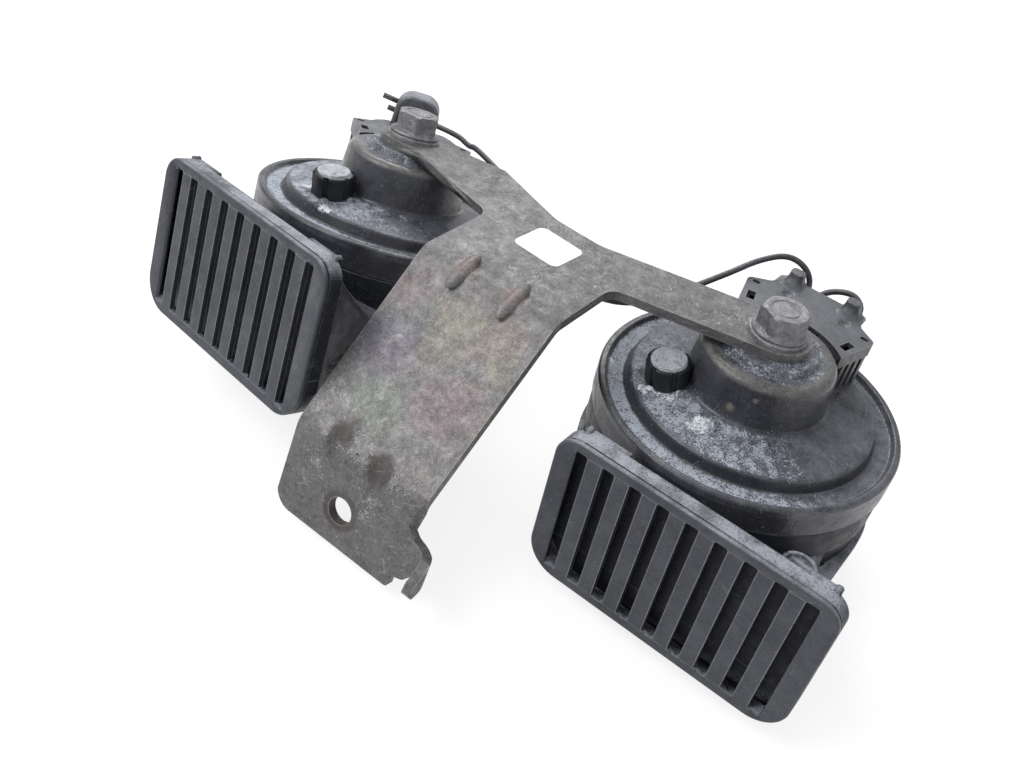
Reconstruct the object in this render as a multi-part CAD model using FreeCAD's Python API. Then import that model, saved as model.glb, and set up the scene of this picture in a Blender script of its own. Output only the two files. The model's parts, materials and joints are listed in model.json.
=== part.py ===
import FreeCAD, Part
import math
import os
from FreeCAD import Vector

# Pair of electromagnetic snail horns on one folded steel bracket, with the lead between them.
# Frame: +Z is the right horn's axis, +X runs along its grille, -Y is where both mouths face.
# The origin is the centre of the fixing hole, on the front face of the bracket's foot.
# Each horn is drawn about its own axis, with z = 0 at the top of its rim, and then placed.

# Bracket
sheet = 3.0
foot_width = 49.0
foot_hole_radius = 4.2
hole_to_tip = 11.5
hole_to_fold = 18.0
foot_angle = 75.0
slope_length = 61.5
slope_angle = 38.0
fold_inner_radius = 4.0
foot_corner_radius = 6.5
foot_corner_x = 20.4
foot_corner_round = 2.6
notch_round = 2.0
left_taper = 2.1
foot_taper = 1.4
right_taper = 2.7
arm_reach = 69.0
arm_width = 20.5
arm_angle = 14.7
bolt_to_fold = 49.0
web_top = 44.7
arm_corner_radius = 5.0
bracket_hole_radius = 4.3
rib_spacing = 18.2
rib_length = 15.0
rib_width = 5.0
rib_height = 1.3
dart_spacing = 15.6
dart_rise = 5.6
dart_drop = 6.5
dart_radius = 8.6
dart_tip_radius = 1.2
dart_top_depth = 3.4
dart_tip_depth = 2.2
dart_end = 1.6
tab_x = 33.0
tab_top = 5.0
tab_tip = -5.5
tab_reach = 6.2
tab_width = 4.4
tab_bend_radius = 2.4
notch_top = -6.8

# Left arm: its pad is twisted, lower at the back, and its horn is turned with it
left_arm_angle = 5.5
left_arm_width = 22.0
left_pad_back = 3.9
left_root_back = 1.7
left_pad_rise = 0.6
pad_twist = -15.1
pad_roll = -3.1
left_horn_turn = -10.5
twist_start = 31.0
twist_end = 13.0

# Horn cover, a stamped steel can
rim_radius = 47.0
cover_wall = 1.2
cover_depth = 9.6
crimp_radius = 44.6
channel_depth = 1.5
channel_outer_radius = 43.8
channel_inner_radius = 39.0
plateau_radius = 37.7
plateau_height = 2.5
plateau_slope = 10.0
boss_base_radius = 21.8
boss_top_radius = 20.3
boss_height = 19.4
boss_fillet = 1.6
seat_radius = 13.5
seat_height = 22.0
blister_radius = 4.0
blister_height = 1.2

# Bolt, M8 with a flange and a separate washer
bolt_radius = 4.0
bolt_length = 22.0
hex_across_flats = 13.0
hex_height = 5.6
flange_radius = 8.3
flange_thickness = 1.5
washer_radius = 8.9
washer_thickness = 1.4
hole_clearance = 0.2

# Magnet and breaker inside the cover
core_radius = 7.0
core_neck_radius = 6.0
pole_gap = 0.8
bobbin_clearance = 0.2
bobbin_wall = 1.1
bobbin_radius = 18.0
bobbin_gap = 0.1
coil_radius = 17.0
yoke_thickness = 1.2
yoke_radius = 24.0
yoke_hole_radius = 12.5
armature_radius = 12.0
armature_thickness = 2.4
armature_hub_radius = 6.0
armature_shank_radius = 3.0
armature_head_radius = 4.6
armature_head_height = 1.2
armature_washer_radius = 8.0
armature_washer_thickness = 1.0
diaphragm_thickness = 0.4
gasket_width = 4.6
gasket_thickness = 1.5
blade_width = 7.0
blade_reach = 3.0
blade_drop = 1.3
blade_length = 21.0
blade_thickness = 0.5
contact_radius = 1.6
contact_height = 0.6
breaker_block_length = 7.0
breaker_block_width = 9.0
breaker_turn = 16.0

# Tone adjuster on the plateau
adjuster_distance = 27.6
adjuster_angle = 221.9
adjuster_screw_radius = 2.0
adjuster_hex = 7.0
adjuster_hex_height = 4.5
cap_radius = 6.7
cap_top_radius = 5.4
cap_height = 8.2
cap_disc_height = 0.8
cap_notch_count = 6
cap_notch_radius = 1.0
cap_notch_turn = 35.0
cap_hollow_radius = 4.6
cap_hollow_height = 6.6
stake_count = 5
stake_turn = 37.0
stake_radius = 1.9
stake_height = 1.1
stake_gap = 0.6

# Moulded trumpet under the cover
body_inset = 0.5
body_step = 0.9
body_taper = 2.5
body_step_depth = 20.0
body_depth = 38.0
split_depth = 29.0
split_flange = 1.8
split_flange_thickness = 1.6
body_wall = 2.4
throat_radius = 7.5
chamber_depth = 1.6
chamber_radius = 39.0
passage_top = 14.0
first_passage_width = 13.0

# Flared bell, collar and grille at the mouth
mouth_width = 84.1
mouth_height = 50.7
right_mouth_offset = 16.3
right_mouth_rise = 10.6
right_mouth_reach = 68.7
left_mouth_offset = 12.7
left_mouth_rise = 6.5
left_mouth_reach = 71.0
collar_depth = 6.2
collar_wall = 1.7
collar_top_radius = 7.0
collar_bottom_radius = 10.5
bell_wall = 2.2
bell_shoulder_y = -48.0
bell_shoulder_wall = 1.8
grille_thickness = 1.8
grille_round = 0.6
grille_clearance = 0.2
slot_count = 9
slot_pitch = 8.54
slot_width = 3.9
slot_top = 2.7
slot_bottom = 3.3
lip_depth = 1.6
lip_width = 1.1
seam_depth = 0.4
ear_width = 14.0
ear_reach = 1.6
ear_bead = 1.1
roof_boss_x = 41.0
roof_boss_y = -49.5
roof_boss_radius = 5.0
roof_boss_height = 3.5
roof_boss_wall = 1.2
roof_boss_recess = 1.0
drain_radius = 2.2

# Terminal housing, standing on the back of the cover behind its boss
housing_shift = -1.15
housing_gap = 0.5
housing_middle_half = 20.0
housing_middle_y = 22.0
housing_side_slope = 0.27
housing_corner_y = 30.8
housing_ear_x = 16.0
housing_ear_y = 35.0
housing_bulge_y = 42.5
housing_wall = 1.5
housing_clearance = 0.15
lid_top = 18.6
lid_thickness = 1.6
lid_skirt = 4.4
lid_window_x = 16.7
lid_window_y = 21.8
lid_window_width = 2.6
lid_window_length = 4.8
lid_window_splay = 16.0
lid_eye_x = 19.0
lid_eye_y = 30.2
lid_eye_radius = 0.9
lid_eye_length = 2.8
snout_x = 10.0
snout_shift = -0.3
snout_front = 33.5
snout_back = 43.5
snout_half = 5.4
snout_tip_half = 2.4
snout_height = 4.4
dent_radius = 3.0
dent_y = 32.4
rib_spacing_side = 3.2
rib_count = 4
rib_depth = 0.9
terminal_width = 6.3
terminal_thickness = 0.8
terminal_foot = 6.8
terminal_foot_front = 2.6
terminal_spacing = 16.0
terminal_y = 31.0
terminal_rivet_radius = 1.5
terminal_rivet_head = 2.4
left_can_turn = 45.0

# Rubber boot over the plug of the left horn, with its two cut leads
boot_x = -1.9
boot_y = 38.5
boot_width = 17.0
boot_depth = 12.0
boot_top = 30.5
boot_round = 6.0
cut_lead_radius = 1.0
cut_lead_length = 5.0
cut_lead_top = 26.0
cut_lead_spacing = 3.7

# Leads, in the right horn's frame, and their last stretch in the left cover's frame
wire_radius = 1.0
wire_hole_radius = 1.15
long_lead = [(-6.3, 37.0, 13.6), (-6.7, 44.9, 16.2), (-10.4, 46.3, 22.0), (-18.0, 45.3, 24.0),
             (-24.2, 36.8, 21.8), (-27.0, 25.5, 20.8), (-31.4, 11.8, 19.2), (-35.0, -4.0, 18.6),
             (-43.5, -17.3, 17.8), (-58.0, -20.2, 17.5), (-72.5, -13.6, 17.4), (-86.5, -1.8, 17.4),
             (-101.0, 9.2, 17.6), (-116.5, 16.0, 18.0), (-130.5, 21.4, 18.0)]
long_lead_end = [(19.5, 25.2, 21.6), (14.4, 34.8, 22.6), (2.8, 41.8, 22.2)]
short_lead = [(-3.8, 37.4, 13.2), (-3.8, 43.7, 16.4), (0.6, 46.2, 19.8), (7.2, 46.4, 21.6), (11.8, 44.4, 17.6),
              (10.4, 37.6, 14.0)]


def polar(radius, degrees, z=0.0):
    a = math.radians(degrees)
    return Vector(radius * math.cos(a), radius * math.sin(a), z)


def outline(corners):
    """Closed wire in the XY plane through corners (x, y, radius), each rounded by its arc."""
    count = len(corners)
    points = [Vector(c[0], c[1], 0) for c in corners]
    edges = []
    ends = []
    for i, corner in enumerate(corners):
        here = points[i]
        back = (points[i - 1] - here).normalize()
        ahead = (points[(i + 1) % count] - here).normalize()
        radius = corner[2] if len(corner) > 2 else 0
        if not radius:
            ends.append((here, here, None))
            continue
        half = back.getAngle(ahead) / 2
        run = radius / math.tan(half)
        bisector = (back + ahead).normalize()
        middle = here + bisector * (radius / math.sin(half) - radius)
        ends.append((here + back * run, here + ahead * run, middle))
    for i in range(count):
        start, finish, middle = ends[i]
        if middle is not None:
            edges.append(Part.Arc(start, middle, finish).toShape())
        following = ends[(i + 1) % count][0]
        if (following - finish).Length > 1e-6:
            edges.append(Part.LineSegment(finish, following).toShape())
    return Part.Wire(edges)


def slab(corners, z, height):
    """Prism with the given outline, standing from z."""
    face = Part.Face(outline(corners))
    face.translate(Vector(0, 0, z))
    return face.extrude(Vector(0, 0, height))


def turned(corners, degrees=360.0):
    """Solid turned about Z from corners (radius, z, fillet)."""
    face = Part.Face(outline(corners))
    face.rotate(Vector(0, 0, 0), Vector(1, 0, 0), 90)
    return face.revolve(Vector(0, 0, 0), Vector(0, 0, 1), degrees)


def rod(radius, z, height, at=None):
    base = Vector(0, 0, z) if at is None else Vector(at.x, at.y, z)
    return Part.makeCylinder(radius, height, base)


def ring(outer, inner, z, height):
    return rod(outer, z, height).cut(rod(inner, z - 1, height + 2))


def block(x, y, z, size_x, size_y, size_z):
    """Box centred on x, from y and z upwards."""
    return Part.makeBox(size_x, size_y, size_z, Vector(x - size_x / 2, y, z))


def rectangle_at(y, left, right, bottom, top, top_radius, bottom_radius):
    """Rounded rectangle in the plane of a given y, for the bell's sections."""
    wire = outline([(left, bottom, bottom_radius), (right, bottom, bottom_radius),
                    (right, top, top_radius), (left, top, top_radius)])
    wire.rotate(Vector(0, 0, 0), Vector(1, 0, 0), 90)
    wire.translate(Vector(0, y, 0))
    return wire


# Bracket


def bracket_profile():
    """Side view of the folded strip, as outer points from the arms' edge down to the tip."""
    down_slope = math.radians(slope_angle)
    down_foot = math.radians(foot_angle)
    foot_dir = Vector(0, -math.cos(down_foot), -math.sin(down_foot))
    slope_dir = Vector(0, -math.cos(down_slope), -math.sin(down_slope))
    tip = foot_dir * hole_to_tip
    lower_fold = foot_dir * -hole_to_fold
    upper_fold = lower_fold - slope_dir * slope_length
    return tip, lower_fold, upper_fold


tip_point, lower_fold_point, upper_fold_point = bracket_profile()
plate_top = upper_fold_point.z
bolt_y = upper_fold_point.y + bolt_to_fold
web_y = upper_fold_point.y + web_top


def folded_strip():
    """The web, the slope and the foot as one bent strip, before its outline is trimmed."""
    tilt_foot = math.radians(foot_angle)
    tilt_slope = math.radians(slope_angle)
    foot_inward = Vector(0, math.sin(tilt_foot), -math.cos(tilt_foot))
    half_lower = (tilt_foot - tilt_slope) / 2
    half_upper = tilt_slope / 2
    bend_lower = (tilt_foot + tilt_slope) / 2
    inner_lower = lower_fold_point + Vector(0, math.sin(bend_lower), -math.cos(bend_lower)) * (
        sheet / math.cos(half_lower))
    inner_upper = upper_fold_point + Vector(0, math.sin(half_upper), -math.cos(half_upper)) * (
        sheet / math.cos(half_upper))
    inner_tip = tip_point + foot_inward * sheet
    outer_radius = fold_inner_radius + sheet
    start = upper_fold_point.y + bolt_to_fold * 0.5
    corners = [(start, plate_top), (upper_fold_point.y, upper_fold_point.z, outer_radius),
               (lower_fold_point.y, lower_fold_point.z, outer_radius), (tip_point.y, tip_point.z),
               (inner_tip.y, inner_tip.z), (inner_lower.y, inner_lower.z, fold_inner_radius),
               (inner_upper.y, inner_upper.z, fold_inner_radius), (start, plate_top - sheet)]
    face = Part.Face(outline(corners))
    face.rotate(Vector(0, 0, 0), Vector(0, 1, 0), 90)
    face.rotate(Vector(0, 0, 0), Vector(1, 0, 0), 90)
    face.translate(Vector(-foot_width / 2, 0, 0))
    return face.extrude(Vector(foot_width, 0, 0))


def arm_point(side, along, across, angle):
    """Point on an arm: along it from the bolt towards the web, across it to the back."""
    a = math.radians(angle)
    x = side * (arm_reach - along * math.cos(a) - across * math.sin(a))
    return x, bolt_y - along * math.sin(a) + across * math.cos(a)


def arms_plate():
    """Flat plate of the web and the right arm, up to where the left arm starts to twist."""
    half = arm_width / 2
    left_half = left_arm_width / 2
    overlap = upper_fold_point.y + bolt_to_fold * 0.5 - 2
    root = arm_reach * 0.36
    right_end_front = arm_point(1, 0, -half, arm_angle)
    right_end_back = arm_point(1, 0, half, arm_angle)
    right_front = arm_point(1, arm_reach - root, -half - 0.6, arm_angle)
    right_back = arm_point(1, arm_reach - root * 0.4, half, arm_angle)
    shift = left_root_back
    left_back = arm_point(-1, twist_start, left_half, left_arm_angle)
    left_front = arm_point(-1, twist_start, -left_half, left_arm_angle)
    corner_x = foot_width / 2
    corners = [(corner_x, overlap), (corner_x, right_front[1], arm_corner_radius),
               (right_end_front[0], right_end_front[1]),
               (right_end_back[0], right_end_back[1]),
               (right_back[0], right_back[1], 14),
               (-arm_reach * 0.12, web_y, 14),
               (left_back[0], left_back[1] - shift), (left_front[0], left_front[1] - shift),
               (-corner_x, left_front[1] - shift - 3.5, arm_corner_radius), (-corner_x, overlap)]
    plate = slab(corners, plate_top - sheet, sheet)
    pad = rod(half, plate_top - sheet, sheet, Vector(arm_reach, bolt_y, 0))
    return plate.fuse(pad)


def pad_frame():
    """Placement of the left horn's seat: the top of the twisted pad, at its bolt."""
    turn = FreeCAD.Rotation(Vector(1, 0, 0), pad_twist)
    roll = FreeCAD.Rotation(Vector(0, 1, 0), pad_roll)
    return FreeCAD.Placement(Vector(-arm_reach, bolt_y - left_pad_back, plate_top + left_pad_rise),
                             turn.multiply(roll))


def left_arm():
    """The twisted stretch of the left arm and its pad."""
    half = left_arm_width / 2
    frame = pad_frame()
    start = []
    for across, z in ((-half, 0), (half, 0), (half, -sheet), (-half, -sheet)):
        x, y = arm_point(-1, twist_start, across, left_arm_angle)
        start.append(Vector(x, y - left_root_back, plate_top + z))
    a = math.radians(left_arm_angle)
    finish = []
    for across, z in ((-half, 0), (half, 0), (half, -sheet), (-half, -sheet)):
        flat = Vector(twist_end * math.cos(a) + across * math.sin(a),
                      -twist_end * math.sin(a) + across * math.cos(a), z)
        finish.append(frame.multVec(flat))
    twist = Part.makeLoft([Part.makePolygon(start + start[:1]),
                           Part.makePolygon(finish + finish[:1])], True, True)
    corners = []
    for along, across in ((twist_end, -half), (twist_end, half), (0, half), (0, -half)):
        corners.append((along * math.cos(a) + across * math.sin(a),
                        -along * math.sin(a) + across * math.cos(a)))
    pad = slab(corners, -sheet, sheet).fuse(rod(half, -sheet, sheet))
    pad.Placement = frame
    return twist.fuse(pad)


def foot_frame():
    """Placement with x across the foot, y up it towards the fold and z out of its front."""
    return FreeCAD.Placement(Vector(0, 0, 0), FreeCAD.Rotation(Vector(1, 0, 0), foot_angle))


def in_foot(shape):
    moved = shape.copy()
    moved.Placement = foot_frame().multiply(moved.Placement)
    return moved


def foot_trim():
    """What is cut from the foot: its left corner, the notch beside the tab and the fixing hole."""
    edge = -foot_width / 2 + foot_taper
    r = foot_corner_radius
    deep = sheet * 4
    tip = -hole_to_tip
    left_corner = slab([(edge - 3, tip - 1), (edge + r, tip - 1), (edge + r, tip), (edge, tip + r),
                        (edge - 3, tip + r)], -deep / 2, deep)
    left_corner = left_corner.cut(rod(r, -deep, deep * 2, Vector(edge + r, tip + r, 0)))
    turn = foot_corner_round
    right = foot_corner_x + turn
    far = foot_width / 2 + hole_to_tip
    notch = slab([(right - turn, tip - 1), (right - turn, tip), (right, tip, turn), (right, notch_top, notch_round),
                  (far, notch_top), (far, tip - 1)], -deep / 2, deep)
    hole = rod(foot_hole_radius, -deep, deep * 2)
    return in_foot(left_corner.fuse([notch, hole]))


def side_trim():
    """Wedges taken off the sides, which narrow towards the foot."""
    edge = foot_width / 2
    low = tip_point.z - 10
    high = plate_top - tip_point.z + 20
    left = slab([(-edge - 5, upper_fold_point.y + 4), (-edge, upper_fold_point.y + 4),
                 (-edge + left_taper, lower_fold_point.y, 12), (-edge + foot_taper, tip_point.y - 4),
                 (-edge - 5, tip_point.y - 4)], low, high)
    right = slab([(edge + 5, lower_fold_point.y + 2), (edge, lower_fold_point.y + 2),
                  (edge - right_taper, lower_fold_point.y - 2.2, 4), (edge - right_taper, tip_point.y - 4),
                  (edge + 5, tip_point.y - 4)], low, high)
    return left.fuse(right)


def locating_tab():
    """Small tongue turned forward at the foot's lower right corner."""
    edge = foot_width / 2 - right_taper
    t = sheet
    bent = outline([(edge - 2, -t), (tab_x, -t, tab_bend_radius + t), (tab_x, tab_reach + 1),
                    (tab_x - t, tab_reach + 1), (tab_x - t, 0, tab_bend_radius), (edge - 2, 0)])
    face = Part.Face(bent)
    face.rotate(Vector(0, 0, 0), Vector(1, 0, 0), 90)
    strip = face.extrude(Vector(0, foot_width, 0))
    strip.translate(Vector(0, -foot_width / 2, 0))
    flat = slab([(edge - 2, tab_top + 8), (edge, tab_top + 5.5, 3), (edge + 3.4, tab_top + 2.2, 3),
                 (tab_x - t, tab_top + 0.5), (tab_x + 1, tab_top), (tab_x + 1, tab_top - 5.5),
                 (tab_x - t, tab_top - 5.5), (foot_width / 2 + 1.5, notch_top + 0.8, 2.5),
                 (edge - 2, notch_top - 1.2)], -t - 1, t + 2)
    side = Part.Face(outline([(tab_top, -t - 1), (tab_top, 0.6, 2.5), (tab_tip + tab_width, tab_reach - 0.6, 3),
                              (tab_tip + 1.2, tab_reach, 1.0), (tab_tip, tab_reach - 1.6, 1.0),
                              (tab_tip + 2.0, 1.0, 5), (tab_top - 5.5, -t - 1)]))
    side.rotate(Vector(0, 0, 0), Vector(0, 0, 1), 90)
    side.rotate(Vector(0, 0, 0), Vector(0, 1, 0), 90)
    side.translate(Vector(tab_x - t - tab_bend_radius, 0, 0))
    tongue = side.extrude(Vector(t + tab_bend_radius + 1, 0, 0))
    return in_foot(strip.common(flat.fuse(tongue)))


def pressed_ribs():
    """Two ribs raised across the upper fold."""
    made = []
    for side in (-1, 1):
        rib = Part.makeSphere(rib_width / 2, Vector(0, 0, 0))
        matrix = FreeCAD.Matrix()
        matrix.scale(1.0, rib_length / rib_width, rib_height * 2 / rib_width * 1.6)
        rib = rib.transformGeometry(matrix)
        rib.rotate(Vector(0, 0, 0), Vector(1, 0, 0), slope_angle / 2)
        rib.translate(Vector(side * rib_spacing / 2, upper_fold_point.y, upper_fold_point.z - 1.0))
        made.append(rib)
    return made


def dart(side, grow):
    """Rounded cone across the lower fold, wide above it, larger all round by grow."""
    wide = dart_radius + grow
    tip = dart_tip_radius + grow
    start = Vector(0, dart_rise, dart_radius - dart_top_depth)
    finish = Vector(0, -dart_drop, dart_tip_radius - dart_tip_depth)
    cone = Part.makeCone(wide, tip, (finish - start).Length, start, finish - start)
    end = Part.makeCone(wide, wide - dart_end, dart_end, start, start - finish)
    cone = cone.fuse([end, Part.makeSphere(tip, finish)])
    cone.rotate(Vector(0, 0, 0), Vector(1, 0, 0), (foot_angle + slope_angle) / 2)
    cone.translate(lower_fold_point + Vector(side * dart_spacing / 2, 0, 0))
    return cone


def behind(angle):
    """Half space behind the sheet's front face at the given slope, through the lower fold."""
    size = 120.0
    box = Part.makeBox(size, size, size, Vector(-size / 2, -size / 2, -size))
    box.rotate(Vector(0, 0, 0), Vector(1, 0, 0), angle)
    box.translate(lower_fold_point)
    return box


def make_bracket():
    strip = folded_strip()
    for side in (-1, 1):
        strip = strip.fuse(dart(side, sheet * 0.7).common(behind(slope_angle)).common(behind(foot_angle)))
    strip = strip.cut(side_trim()).cut(foot_trim())
    body = strip.fuse([arms_plate(), left_arm(), locating_tab()])
    body = body.fuse(pressed_ribs())
    for side in (-1, 1):
        body = body.cut(dart(side, 0))
    body = body.removeSplitter()
    right_hole = rod(bracket_hole_radius, plate_top - sheet * 2, sheet * 3, Vector(arm_reach, bolt_y, 0))
    left_hole = rod(bracket_hole_radius, -sheet * 2, sheet * 3)
    left_hole.Placement = pad_frame()
    return body.cut(right_hole).cut(left_hole)


# Horn, about its own axis


def plateau_at(radius):
    """Height of the plateau, which falls outwards from the boss."""
    return plateau_height + (plateau_radius - radius) * math.tan(math.radians(plateau_slope))


def ceiling_at(radius):
    """Height of the plateau's underside."""
    return plateau_at(radius) - cover_wall / math.cos(math.radians(plateau_slope))


def on_plateau(radius, angle, turn=0.0):
    """Placement on the plateau, z square to it and x pointing outwards."""
    lean = FreeCAD.Rotation(Vector(0, 1, 0), plateau_slope)
    spin = FreeCAD.Rotation(Vector(0, 0, 1), turn)
    around = FreeCAD.Rotation(Vector(0, 0, 1), angle)
    return FreeCAD.Placement(polar(radius, angle, plateau_at(radius)), around.multiply(lean).multiply(spin))


def placed_at(placement, shape):
    moved = shape.copy()
    moved.Placement = placement.multiply(moved.Placement)
    return moved


def at_adjuster(shape):
    """A shape drawn about the adjuster's own axis, z = 0 on the plateau, put in its place."""
    return placed_at(on_plateau(adjuster_distance, adjuster_angle), shape)


def adjuster_at():
    return polar(adjuster_distance, adjuster_angle)


def cover_stamping():
    """The cover's sheet, turned, before anything is added to it or pierced in it."""
    wall = cover_wall
    foot = plateau_at(boss_base_radius)
    neck = core_neck_radius + hole_clearance / 2
    return turned([(neck, seat_height), (seat_radius, seat_height, 0.9),
                   (seat_radius + 1.2, boss_height, 0.6), (boss_top_radius, boss_height, 2.6),
                   (boss_base_radius, foot, boss_fillet), (plateau_radius, plateau_height, 1.3),
                   (channel_inner_radius, -channel_depth, 0.9),
                   (channel_outer_radius, -channel_depth, 0.7),
                   (channel_outer_radius + 1.1, 0, 0.6), (rim_radius, 0, 1.0),
                   (rim_radius, -cover_depth, 0.8), (crimp_radius, -cover_depth),
                   (crimp_radius, -cover_depth + wall * 0.8), (rim_radius - wall, -cover_depth + wall * 0.8),
                   (rim_radius - wall, -channel_depth - wall),
                   (channel_inner_radius - wall * 0.8, -channel_depth - wall),
                   (plateau_radius - wall * 0.8, ceiling_at(plateau_radius - wall * 0.8), 0.8),
                   (boss_base_radius - wall, ceiling_at(boss_base_radius - wall)),
                   (boss_top_radius - wall, boss_height - wall, 1.6),
                   (seat_radius, boss_height - wall), (seat_radius - wall, seat_height - wall),
                   (neck, seat_height - wall)])


def make_cover():
    cover = cover_stamping()
    blister = Part.makeSphere(blister_radius * 1.6, Vector(0, 0, blister_height - blister_radius * 1.6))
    blister = placed_at(on_plateau(boss_base_radius + blister_radius, 262), blister)
    rib = block(0, -2, -0.1, 10, 4, 1.0)
    rib = rib.makeFillet(0.9, [e for e in rib.Edges if abs(e.CenterOfMass.z - 0.9) < 1e-6])
    rib = placed_at(on_plateau(plateau_radius - 7, 36, -21), rib)
    ring_radius = cap_radius + stake_gap
    stakes = [at_adjuster(Part.makeSphere(stake_radius, polar(ring_radius, stake_turn + 360 / stake_count * i,
                                                              stake_height - stake_radius)))
              for i in range(stake_count)]
    foot = plateau_at(boss_base_radius)
    half_wall = cover_wall * 0.6
    keep = turned([(0, seat_height), (0, foot - half_wall), (boss_base_radius, foot - half_wall),
                   (plateau_radius, plateau_height - half_wall), (rim_radius, plateau_height - half_wall),
                   (rim_radius, seat_height)])
    cover = cover.fuse(blister.fuse(stakes).common(keep)).fuse(rib)
    cover = cover.cut(at_adjuster(rod(adjuster_screw_radius + hole_clearance, -5, 15)))
    cover = cover.cut(at_adjuster(rod(cap_radius + 0.05, 0, 15)))
    for point in rivet_points():
        hole = rod(terminal_rivet_radius + 0.05, -5, 15, point)
        cover = cover.cut(hole)
    return cover


def make_core():
    top = seat_height - cover_wall
    core = turned([(0, 0), (core_radius, 0, 0.6), (core_radius, top), (core_neck_radius, top),
                   (core_neck_radius, seat_height), (0, seat_height)])
    return core.cut(rod(bolt_radius + hole_clearance / 2, seat_height + sheet - bolt_length - 1, bolt_length + 5))


def hexagon(across_flats, z, height):
    points = [polar(across_flats / 2 / math.cos(math.pi / 6), 30 + 60 * i, z) for i in range(6)]
    return Part.Face(Part.makePolygon(points + points[:1])).extrude(Vector(0, 0, height))


def make_bolt():
    seat = seat_height + sheet + washer_thickness
    corner = hex_across_flats / 2 / math.cos(math.pi / 6)
    head = hexagon(hex_across_flats, seat + flange_thickness * 0.6, hex_height + flange_thickness * 0.4)
    top = seat + flange_thickness + hex_height
    chamfer = turned([(0, seat), (corner + 1, seat), (corner + 1, top - 1.1), (hex_across_flats / 2 - 0.2, top),
                      (0, top)])
    head = head.common(chamfer)
    flange = turned([(0, seat), (flange_radius, seat), (flange_radius, seat + 0.6), (6.4, seat + flange_thickness + 0.5),
                     (0, seat + flange_thickness + 0.5)])
    mark = ring(4.6, 3.7, top - 0.25, 1)
    shank = rod(bolt_radius, seat_height + sheet - bolt_length, bolt_length + washer_thickness + 1)
    return head.fuse([flange, shank]).cut(mark)


def make_washer():
    washer = turned([(bolt_radius + 0.15, seat_height + sheet), (washer_radius, seat_height + sheet),
                     (washer_radius, seat_height + sheet + washer_thickness * 0.6, 0.4),
                     (washer_radius - 0.6, seat_height + sheet + washer_thickness),
                     (bolt_radius + 0.15, seat_height + sheet + washer_thickness)])
    return washer


def bobbin_ends():
    """Lower and upper faces of the bobbin, between the yoke and the boss's ceiling."""
    return yoke_top() + bobbin_gap, boss_height - cover_wall - bobbin_gap


def make_bobbin():
    low, high = bobbin_ends()
    bore = core_radius + bobbin_clearance
    wall = bobbin_wall
    return turned([(bore, low), (bobbin_radius, low, 0.4), (bobbin_radius, low + wall, 0.4),
                   (bore + wall, low + wall), (bore + wall, high - wall), (bobbin_radius - 1, high - wall, 0.4),
                   (bobbin_radius - 1, high, 0.4), (bore, high)])


def make_coil():
    low, high = bobbin_ends()
    inner = core_radius + bobbin_clearance + bobbin_wall
    return ring(coil_radius, inner, low + bobbin_wall, high - low - 2 * bobbin_wall)


def yoke_top():
    """Where the yoke's edge meets the underside of the plateau."""
    return ceiling_at(yoke_radius) - bobbin_gap


def make_yoke():
    top = yoke_top()
    return ring(yoke_radius, yoke_hole_radius, top - yoke_thickness, yoke_thickness)


def diaphragm_top():
    return -channel_depth - cover_wall - gasket_thickness


def make_armature():
    face = -pole_gap
    top = diaphragm_top()
    under = top - diaphragm_thickness - armature_washer_thickness
    return turned([(0, face), (armature_radius, face, 0.4), (armature_radius, face - armature_thickness),
                   (armature_hub_radius, face - armature_thickness), (armature_hub_radius, top),
                   (armature_shank_radius, top), (armature_shank_radius, under),
                   (armature_head_radius, under), (armature_head_radius, under - armature_head_height, 0.7),
                   (0, under - armature_head_height)])


def make_diaphragm():
    radius = rim_radius - cover_wall - hole_clearance
    top = diaphragm_top()
    t = diaphragm_thickness
    ripple = radius * 0.62
    return turned([(armature_shank_radius + 0.05, top), (ripple, top), (ripple + 1.5, top - 0.6), (ripple + 3, top),
                   (radius, top), (radius, top - t), (ripple + 3, top - t), (ripple + 1.5, top - t - 0.6),
                   (ripple, top - t), (armature_shank_radius + 0.05, top - t)])


def make_armature_washer():
    top = diaphragm_top() - diaphragm_thickness
    return ring(armature_washer_radius, armature_shank_radius + 0.05, top - armature_washer_thickness,
                armature_washer_thickness)


def make_gasket():
    radius = rim_radius - cover_wall - hole_clearance
    return ring(radius, radius - gasket_width, diaphragm_top(), gasket_thickness)


def breaker_levels():
    """Heights of the two blades' lower faces: the fixed one above, the moving one below."""
    upper = plateau_height - cover_wall - blade_drop
    return upper, upper - 2 * contact_height - blade_thickness


def breaker_place(shape):
    """Puts a breaker piece, drawn along +Y from the adjuster, beside the adjusting screw."""
    shape.rotate(Vector(0, 0, 0), Vector(0, 0, 1), adjuster_angle + breaker_turn)
    shape.translate(adjuster_at())
    return shape


def make_breaker_blade(level):
    blade = block(0, -blade_reach, level, blade_width, blade_length + blade_reach, blade_thickness)
    return breaker_place(blade)


def make_breaker_block():
    upper, lower = breaker_levels()
    start = blade_length - breaker_block_length + 1
    top = plateau_at(adjuster_distance)
    body = block(0, start, lower - 0.9, breaker_block_width, breaker_block_length, top - lower + 0.9)
    for level in (upper, lower):
        body = body.cut(block(0, start - 1, level, blade_width, blade_length - start + 1, blade_thickness))
    yoke = rod(yoke_radius + hole_clearance, yoke_top() - yoke_thickness - bobbin_gap, 10)
    body = breaker_place(body).cut([cover_stamping(), yoke])
    return min(body.Solids, key=lambda solid: solid.BoundBox.ZMin)


def make_contacts():
    upper, lower = breaker_levels()
    low = rod(contact_radius, lower + blade_thickness, contact_height, Vector(0, 5.5, 0))
    high = rod(contact_radius, upper - contact_height, contact_height, Vector(0, 5.5, 0))
    return Part.makeCompound([breaker_place(low), breaker_place(high)])


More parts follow.
